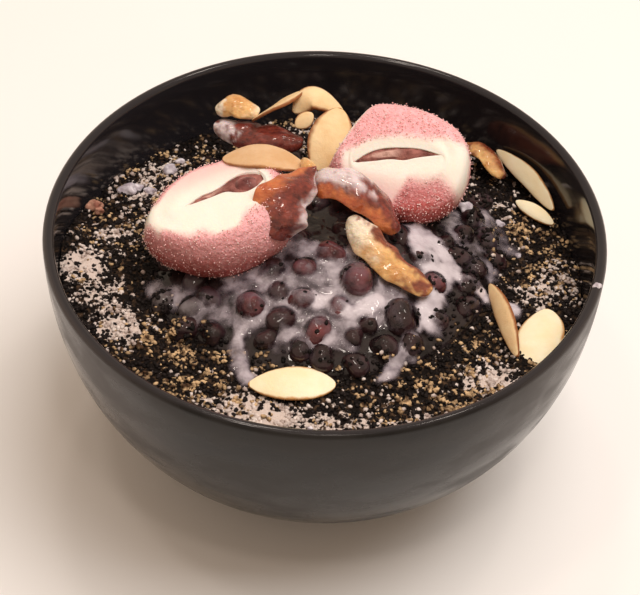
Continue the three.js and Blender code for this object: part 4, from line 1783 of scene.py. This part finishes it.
STRIPS = (
    date(
        "arch", ((-5, 5.6, 94), (0.5, 2.8, 98.5), (8, -0.2, 98.5), (15, -2.6, 94), (20, -6, 87.5)),
        ((0.1, -0.35, 1), (0.7, -0.3, 0.6)), width=12, thickness=2.6, cup=2.4, look=Look.SKIN,
        shade=Shade((-0.75, -0.35), frost_across=(-0.6, -0.1), frost_along=(0.7, 0.4)),
    ),
    date(
        "pale", ((6.6, -5.4, 92), (11.2, -11.2, 89.5), (18.3, -17.2, 86), (29.9, -23.1, 81.4)),
        ((-0.5, -0.5, 0.8), (0.1, -0.2, 1)), width=9.5, thickness=2.2, cup=1.2,
        shade=Shade(
            (0.35, 0.75), peel_along=(0.72, 1.0), glow_along=(0.6, 0.25),
            frost_across=(-2.0, -1.0), frost_along=(0.38, 0.12),
        ),
    ),
    date(
        "middle", ((-3.4, 5, 101), (-10.8, -7.2, 99.2), (-14.8, -14.6, 91.5)),
        ((0, -0.5, 0.85), (0.1, -0.85, 0.5)), width=14, thickness=2.6, cup=1.6, look=Look.SKIN,
        lean=1.5, blunt=0.4, crumple=2.0, wobble=0.6,
        shade=Shade((-0.75, -0.25), frost_across=(0.55, 1.0), frost_along=(0.95, 0.8)),
    ),
    date(
        "back", ((-35, 48.2, 78.5), (-21.3, 42.2, 79.5), (-7.7, 38.5, 81)),
        ((0, -0.5, 0.85), (0, -0.5, 0.85)), width=9, thickness=2.6, cup=1.6, look=Look.SKIN,
        shade=Shade((-2.0, -1.0), frost_across=(-2.0, -1.0), frost_along=(0.3, 0.1)),
    ),
    date(
        "curl", ((-34.6, 51.2, 82.5), (-28.4, 50.1, 85.4), (-21.4, 48, 84)),
        ((-0.2, -0.3, 0.9), (0.2, -0.3, 0.9)), width=7.5, thickness=2.4, cup=1,
        shade=Shade(
            (0.9, 1.2), glow_along=(0.7, 1.1), frost_across=(-2.0, -1.0), frost_along=(0.3, 0.05)
        ),
    ),
    date(
        "behind", ((14, 42, 80), (23, 43, 87), (33, 40, 81)),
        ((0, 0.6, 0.8), (0, 0.6, 0.8)), width=8, thickness=2.6, cup=1.5, look=Look.SKIN,
        shade=Shade((-0.3, 0.2)),
    ),
    date(
        "right", ((41, 55, 68.5), (48.4, 48.9, 70.5), (53.4, 40, 69)),
        ((0.4, 0, 0.9), (0.4, 0, 0.9)), width=8, thickness=2.6, cup=1.8,
        shade=Shade((-1.0, 0.3), peel_along=(0.5, 0.1)),
    ),
    date(
        "bit", ((-6.8, 9.6, 99.6), (-5.6, 5.6, 100.4), (-5.2, 1.6, 98.6)),
        ((-0.4, 0, 1), (-0.2, -0.3, 1)), width=4.4, thickness=2, cup=0.8, alone=True,
        shade=Shade((1.2, 1.5)),
    ),
    almond(
        "front", ((-19.2, -52.6, 73.3), (-7.4, -52.6, 74.6), (4.4, -51.6, 73.4)),
        ((0, -0.15, 1), (0, -0.1, 1)), width=11, lean=1.15, look=Look.BRIGHT,
    ),
    almond(
        "right_flat", ((57.2, -38.2, 69.5), (61.2, -28, 71.2), (63.6, -17.5, 70.8)),
        ((-0.2, -0.25, 0.95), (-0.2, -0.25, 0.95)), width=13, lean=0.9, look=Look.BRIGHT,
    ),
    almond(
        "right_leaning", ((47.4, -10.5, 73), (50.6, -24, 74.6), (54, -38, 72.6)),
        ((-0.72, -0.35, 0.6), (-0.72, -0.3, 0.6)), width=6,
    ),
    almond(
        "back_slender", ((-23.3, 44.5, 84), (-15.6, 47.4, 88), (-8.3, 52.3, 90)),
        ((0, 0.6, 0.8), (0, 0.6, 0.8)), width=9,
    ),
    almond(
        "back_curly", ((-11.1, 47, 86), (-5.2, 49, 90.5), (3.9, 47, 87)),
        ((0, -0.2, 0.97), (0.3, -0.1, 0.97)), width=9, cup=1,
    ),
    almond(
        "back_upright", ((-3.3, 22.5, 84.5), (0.4, 29.7, 91), (3, 37.5, 96)),
        ((0.1, -0.6, 0.75), (0.1, -0.65, 0.75)), width=12.5,
    ),
    almond("back_chip", ((-10, 40, 86), (-5, 43, 89)), ((0, -0.6, 0.8), (0, -0.6, 0.8)), width=5),
    almond(
        "on_cake", ((-29.9, 10.6, 97.8), (-18.6, 10.4, 100), (-6.4, 8.7, 97.8)),
        ((-0.1, 0.15, 0.97), (-0.1, 0.15, 0.97)), width=12, look=Look.TOASTED,
    ),
    almond(
        "wall_long", ((52.4, 53, 69), (61.4, 39.5, 70), (68.4, 26.8, 68.5)),
        ((-0.6, -0.45, 0.66), (-0.6, -0.45, 0.66)), width=5.8, look=Look.BRIGHT,
    ),
    almond(
        "wall_short", ((57.6, 32.4, 66.6), (62.8, 27.4, 67.2), (68.4, 22.6, 66.6)),
        ((-0.3, -0.3, 0.9), (-0.3, -0.3, 0.9)), width=4.6, look=Look.BRIGHT,
    ),
)


@dataclass
class Toppings:
    """The rice cakes, the strips of date and the slices of almond."""

    cakes: tuple[RiceCake, ...] = (
        RiceCake(
            "left", (-31.9, -4.3, 96), (0.94, 0.22, 0.26), (-0.25, -0.08, 0.97), 44, 34, 21, 0.45,
            Slit(
                ((-7.4, 0.7), (-3, 2.6), (1.5, 3.1), (6.4, 5.4), (10.5, 6.2), (14, 4.8), (16.4, 2.4)),
                ((-7.4, 0.7), (-4.9, 0.6), (-0.4, 0.8), (4, 1.2), (6.8, -0.2), (9.6, -1.2),
                 (12.6, -0.6), (14.8, 1), (16.4, 2.4)),
            ),
            ((-30, 40), (30, 40)),
            ((-26, 6), (-19, -0.7), (-17, -5), (-14, -7.7), (-8, -10.6), (-4, -10.2), (-1, -13.5),
             (4, -14.5), (6, -12), (7, -9.5), (11, -7.8), (15, -7.2), (21, -2)),
            (0.04, 0.2), (-14.0, -20.0), (2.0, 13.0), (5.0, -1.0), (98.0, 76.0), bean=(10.2, 2.0, 3.7),
        ),
        RiceCake(
            "right", (20.4, 13.6, 97), (0.97, -0.12, -0.14), (0.02, -0.68, 0.73), 42, 34, 21, 0.0,
            Slit(
                ((-12.4, -3), (-9.8, -0.1), (-6.3, 2.1), (-1.9, 3.5), (4.9, 4.7), (10.9, 4.4)),
                ((-12.4, -3), (-10.9, -2.9), (-6.9, -1.5), (-2.8, 0), (1.1, 0.6), (4, 1.9),
                 (8.1, 3.4), (10.9, 4.4)),
            ),
            ((-22, -6), (-14.5, -0.1), (-8.2, 4.3), (-1.4, 6.5), (5.7, 7.6), (9.5, 8.6),
             (13, 9.8), (15.5, 12.5), (17, 30)),
            ((-20, -30), (-4, -21), (-0.5, -14), (1.8, -8), (3.2, -4), (5.5, -3.4), (8.2, -3.6),
             (12.1, -1.6), (15.5, -3.4), (20, -8)),
            (0.04, 0.2), (12.0, 19.0), (0.0, -12.0), (1.0, -3.0), (100.0, 83.0), 0.24,
            Chop((12.1, 31.4, 103), (-0.85, 0.48, 0.27)),
        ),
    )

    def build_cakes(self, groups: Groups) -> None:
        """Builds both rice cakes with their paste and their sugar."""
        soft = CakeFinish().material(groups)
        paste = PasteFinish().material(groups)
        sugar = GrainFinish(
            "sugar_grains", tint(246, 186, 184), tint(254, 222, 216), 0.4, 0.1
        ).material(groups)
        whole = BeanFinish(
            "bean_in_cake", tint(92, 40, 40), tint(158, 86, 80), tint(200, 150, 142), 0.4
        ).material(groups)
        for cake in self.cakes:
            cake.build(soft, sugar)
            cake.fill(paste)
            cake.stud(whole)

    def build_strips(self, groups: Groups) -> None:
        """Builds the strips of date and the slices of almond."""
        finishes = (
            DateFinish(
                Look.SKIN.value, tint(84, 28, 26), tint(144, 62, 48), tint(176, 84, 48),
                tint(212, 122, 68), tint(248, 214, 180),
            ),
            DateFinish(
                Look.FLESH.value, tint(104, 44, 30), tint(150, 76, 48), tint(204, 142, 80),
                tint(240, 190, 124), tint(255, 230, 198), tint(252, 232, 206),
            ),
            AlmondFinish(
                Look.BRIGHT.value, tint(253, 238, 204), tint(249, 227, 184), tint(198, 142, 84), 0.9
            ),
            AlmondFinish(
                Look.PALE.value, tint(246, 214, 166), tint(234, 194, 142), tint(146, 86, 46), 0.8
            ),
            AlmondFinish(
                Look.TOASTED.value, tint(224, 184, 142), tint(210, 164, 116), tint(168, 114, 70)
            ),
        )
        made = {finish.name: finish.material(groups) for finish in finishes}
        for number, strip in enumerate(STRIPS):
            strip.build(made[strip.look.value], 3.0 * number)


# The studio


@dataclass
class Studio:
    """The floor, the light and the camera."""

    eye: Point = (-0.779, -381.813, 439.432)
    right: Point = (0.9992491, 0.02751131, 0.02728311)
    up: Point = (-0.03874584, 0.7095123, 0.70362707)
    back: Point = (0.0, -0.70415583, 0.71004547)
    lens: float = 103.04
    key_at: Point = (475.0, 20.0, 1510.0)
    key_size: float = 1050.0
    key_power: float = 18.4
    glints_at: tuple[Point, ...] = (
        (-260.0, -120.0, 1200.0), (360.0, 240.0, 1250.0), (60.0, -460.0, 1100.0),
        (-120.0, 420.0, 1200.0),
    )
    glint_size: float = 100.0
    glint_power: float = 0.68
    fill_level: float = 0.47
    glint_colour: Point = (1.0, 0.88, 0.78)
    fill_colour: Colour = (1.0, 0.79, 0.61, 1.0)
    floor_size: float = 3.0

    def camera(self) -> None:
        """Stands the camera where the photograph was taken from."""
        data = bpy.data.cameras.new("camera")
        data.lens = self.lens
        data.sensor_width = 36
        data.clip_start = 0.01
        camera = bpy.data.objects.new("camera", data)
        bpy.context.collection.objects.link(camera)
        columns = Matrix((self.right, self.up, self.back)).transposed().to_4x4()
        camera.matrix_world = Matrix.Translation(Vector(self.eye) * MM) @ columns
        bpy.context.scene.camera = camera

    def lamp(self, name: str, at: Point, size: float, power: float) -> bpy.types.Object:
        """Hangs a square lamp that shines at the dessert.

        Args:
            name: The lamp's name.
            at: Its place.
            size: Its side.
            power: Its power in watts.

        Returns:
            The lamp.
        """
        data = bpy.data.lights.new(name, "AREA")
        data.shape = "SQUARE"
        data.size = size * MM
        data.energy = power
        lamp = bpy.data.objects.new(name, data)
        bpy.context.collection.objects.link(lamp)
        spot = Vector(at) * MM
        aim = Vector((0, 0, 0.06)) - spot
        turned = aim.to_track_quat("-Z", "Y").to_matrix().to_4x4()
        lamp.matrix_world = Matrix.Translation(spot) @ turned
        return lamp

    def light(self) -> None:
        """Hangs a large soft lamp, small weak ones for glints on what is wet, and a warm sky."""
        key = self.lamp("key", self.key_at, self.key_size, self.key_power)
        key.visible_glossy = False
        for number, spot in enumerate(self.glints_at):
            glint = self.lamp(f"glint_{number}", spot, self.glint_size, self.glint_power)
            glint.data.color = self.glint_colour
        world = bpy.data.worlds.new("sky")
        world.use_nodes = True
        sky = world.node_tree.nodes["Background"]
        sky.inputs["Color"].default_value = self.fill_colour
        sky.inputs["Strength"].default_value = self.fill_level
        bpy.context.scene.world = world
        bpy.context.scene.view_settings.view_transform = "Standard"

    def floor(self, groups: Groups) -> None:
        """Lays the table under the bowl."""
        deselect()
        bpy.ops.mesh.primitive_grid_add(x_subdivisions=8, y_subdivisions=8, size=self.floor_size)
        table = taken("table_top")
        table.data.materials.append(FloorFinish().material(groups))


def grain_kinds() -> list[Crumbs]:
    """Gives the kinds of crumbs that lie on the ice and on the edge of the heap."""
    black = GrainFinish("sesame_black", tint(13, 10, 10), tint(36, 29, 28), 0.55)
    tan = GrainFinish("sesame_tan", tint(76, 54, 38), tint(216, 180, 136), 0.6)
    white = GrainFinish("ice_flakes", tint(170, 150, 140), tint(232, 216, 206), 0.4, 0.2)

    def on_ice(x: np.ndarray, y: np.ndarray) -> np.ndarray:
        """Is 1 outside the bean heap and 0 well inside it."""
        return step(heap_part(x, y), 0.88, 1.04)

    def clumps(x: np.ndarray, y: np.ndarray) -> np.ndarray:
        """Is near 1 where crumbs gather and near 0 in the gaps between."""
        flat = np.column_stack([x, y, np.zeros_like(x)])
        return 0.05 + 0.95 * step(waves(flat, 4.2, 41) + 0.5 * waves(flat, 2, 43), -0.1, 0.35)

    def black_share(x: np.ndarray, y: np.ndarray) -> np.ndarray:
        """Lies all over the ice, thinner on its bare patches, and on the heap's right and back."""
        crust = 0.5 * step(x, 14, 34) * step(heap_part(x, y), 0.5, 0.8)
        crust = np.maximum(crust, 0.4 * step(y, 14, 30))
        thin = 1 - 0.7 * covering(BARE_PATCHES, x, y)
        return (0.05 + np.maximum(on_ice(x, y), crust)) * thin / 1.05

    def tan_share(x: np.ndarray, y: np.ndarray) -> np.ndarray:
        """Lies mostly on the tan patches."""
        return on_ice(x, y) * clumps(x, y) * (0.05 + 0.95 * covering(TAN_PATCHES, x, y))

    def white_share(x: np.ndarray, y: np.ndarray) -> np.ndarray:
        """Lies mostly on the bare patches."""
        return on_ice(x, y) * clumps(y, x) * (0.03 + 0.97 * covering(BARE_PATCHES, x, y))

    return [
        Crumbs("grains_black", 6800, (0.45, 1.0), black, 0.6, black_share, 31),
        Crumbs("grains_tan", 2400, (0.35, 0.95), tan, 0.6, tan_share, 32),
        Crumbs("grains_white", 1800, (0.3, 0.95), white, 0.7, white_share, 33),
    ]


def main() -> None:
    """Builds every piece in order."""
    logging.basicConfig(level=logging.INFO, format="%(name)s: %(message)s")
    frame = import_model()
    LOG.info("loaded %s", type(frame).__name__)
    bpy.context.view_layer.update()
    groups = Groups(mottle_group(), relief_group())
    studio = Studio()
    studio.camera()
    studio.light()
    studio.floor(groups)
    bowl = Bowl()
    bowl.build(groups)
    Ice().build(bowl, groups)
    heap = BeanHeap()
    heap.build(groups)
    for crumbs in grain_kinds():
        crumbs.build(heap, groups)
    white = GrainFinish("ice_chunk", tint(166, 152, 160), tint(228, 218, 222), 0.3, 0.5)
    set_chunks("chunks_white", WHITE_CHUNKS, heap, white.material(groups))
    brown = GrainFinish("fruit_chunk", tint(150, 96, 80), tint(206, 156, 132), 0.5, 0.2)
    set_chunks("chunks_brown", BROWN_CHUNKS, heap, brown.material(groups))
    Milk().build(heap, groups)
    toppings = Toppings()
    toppings.build_cakes(groups)
    toppings.build_strips(groups)


if __name__ == "__main__":
    main()
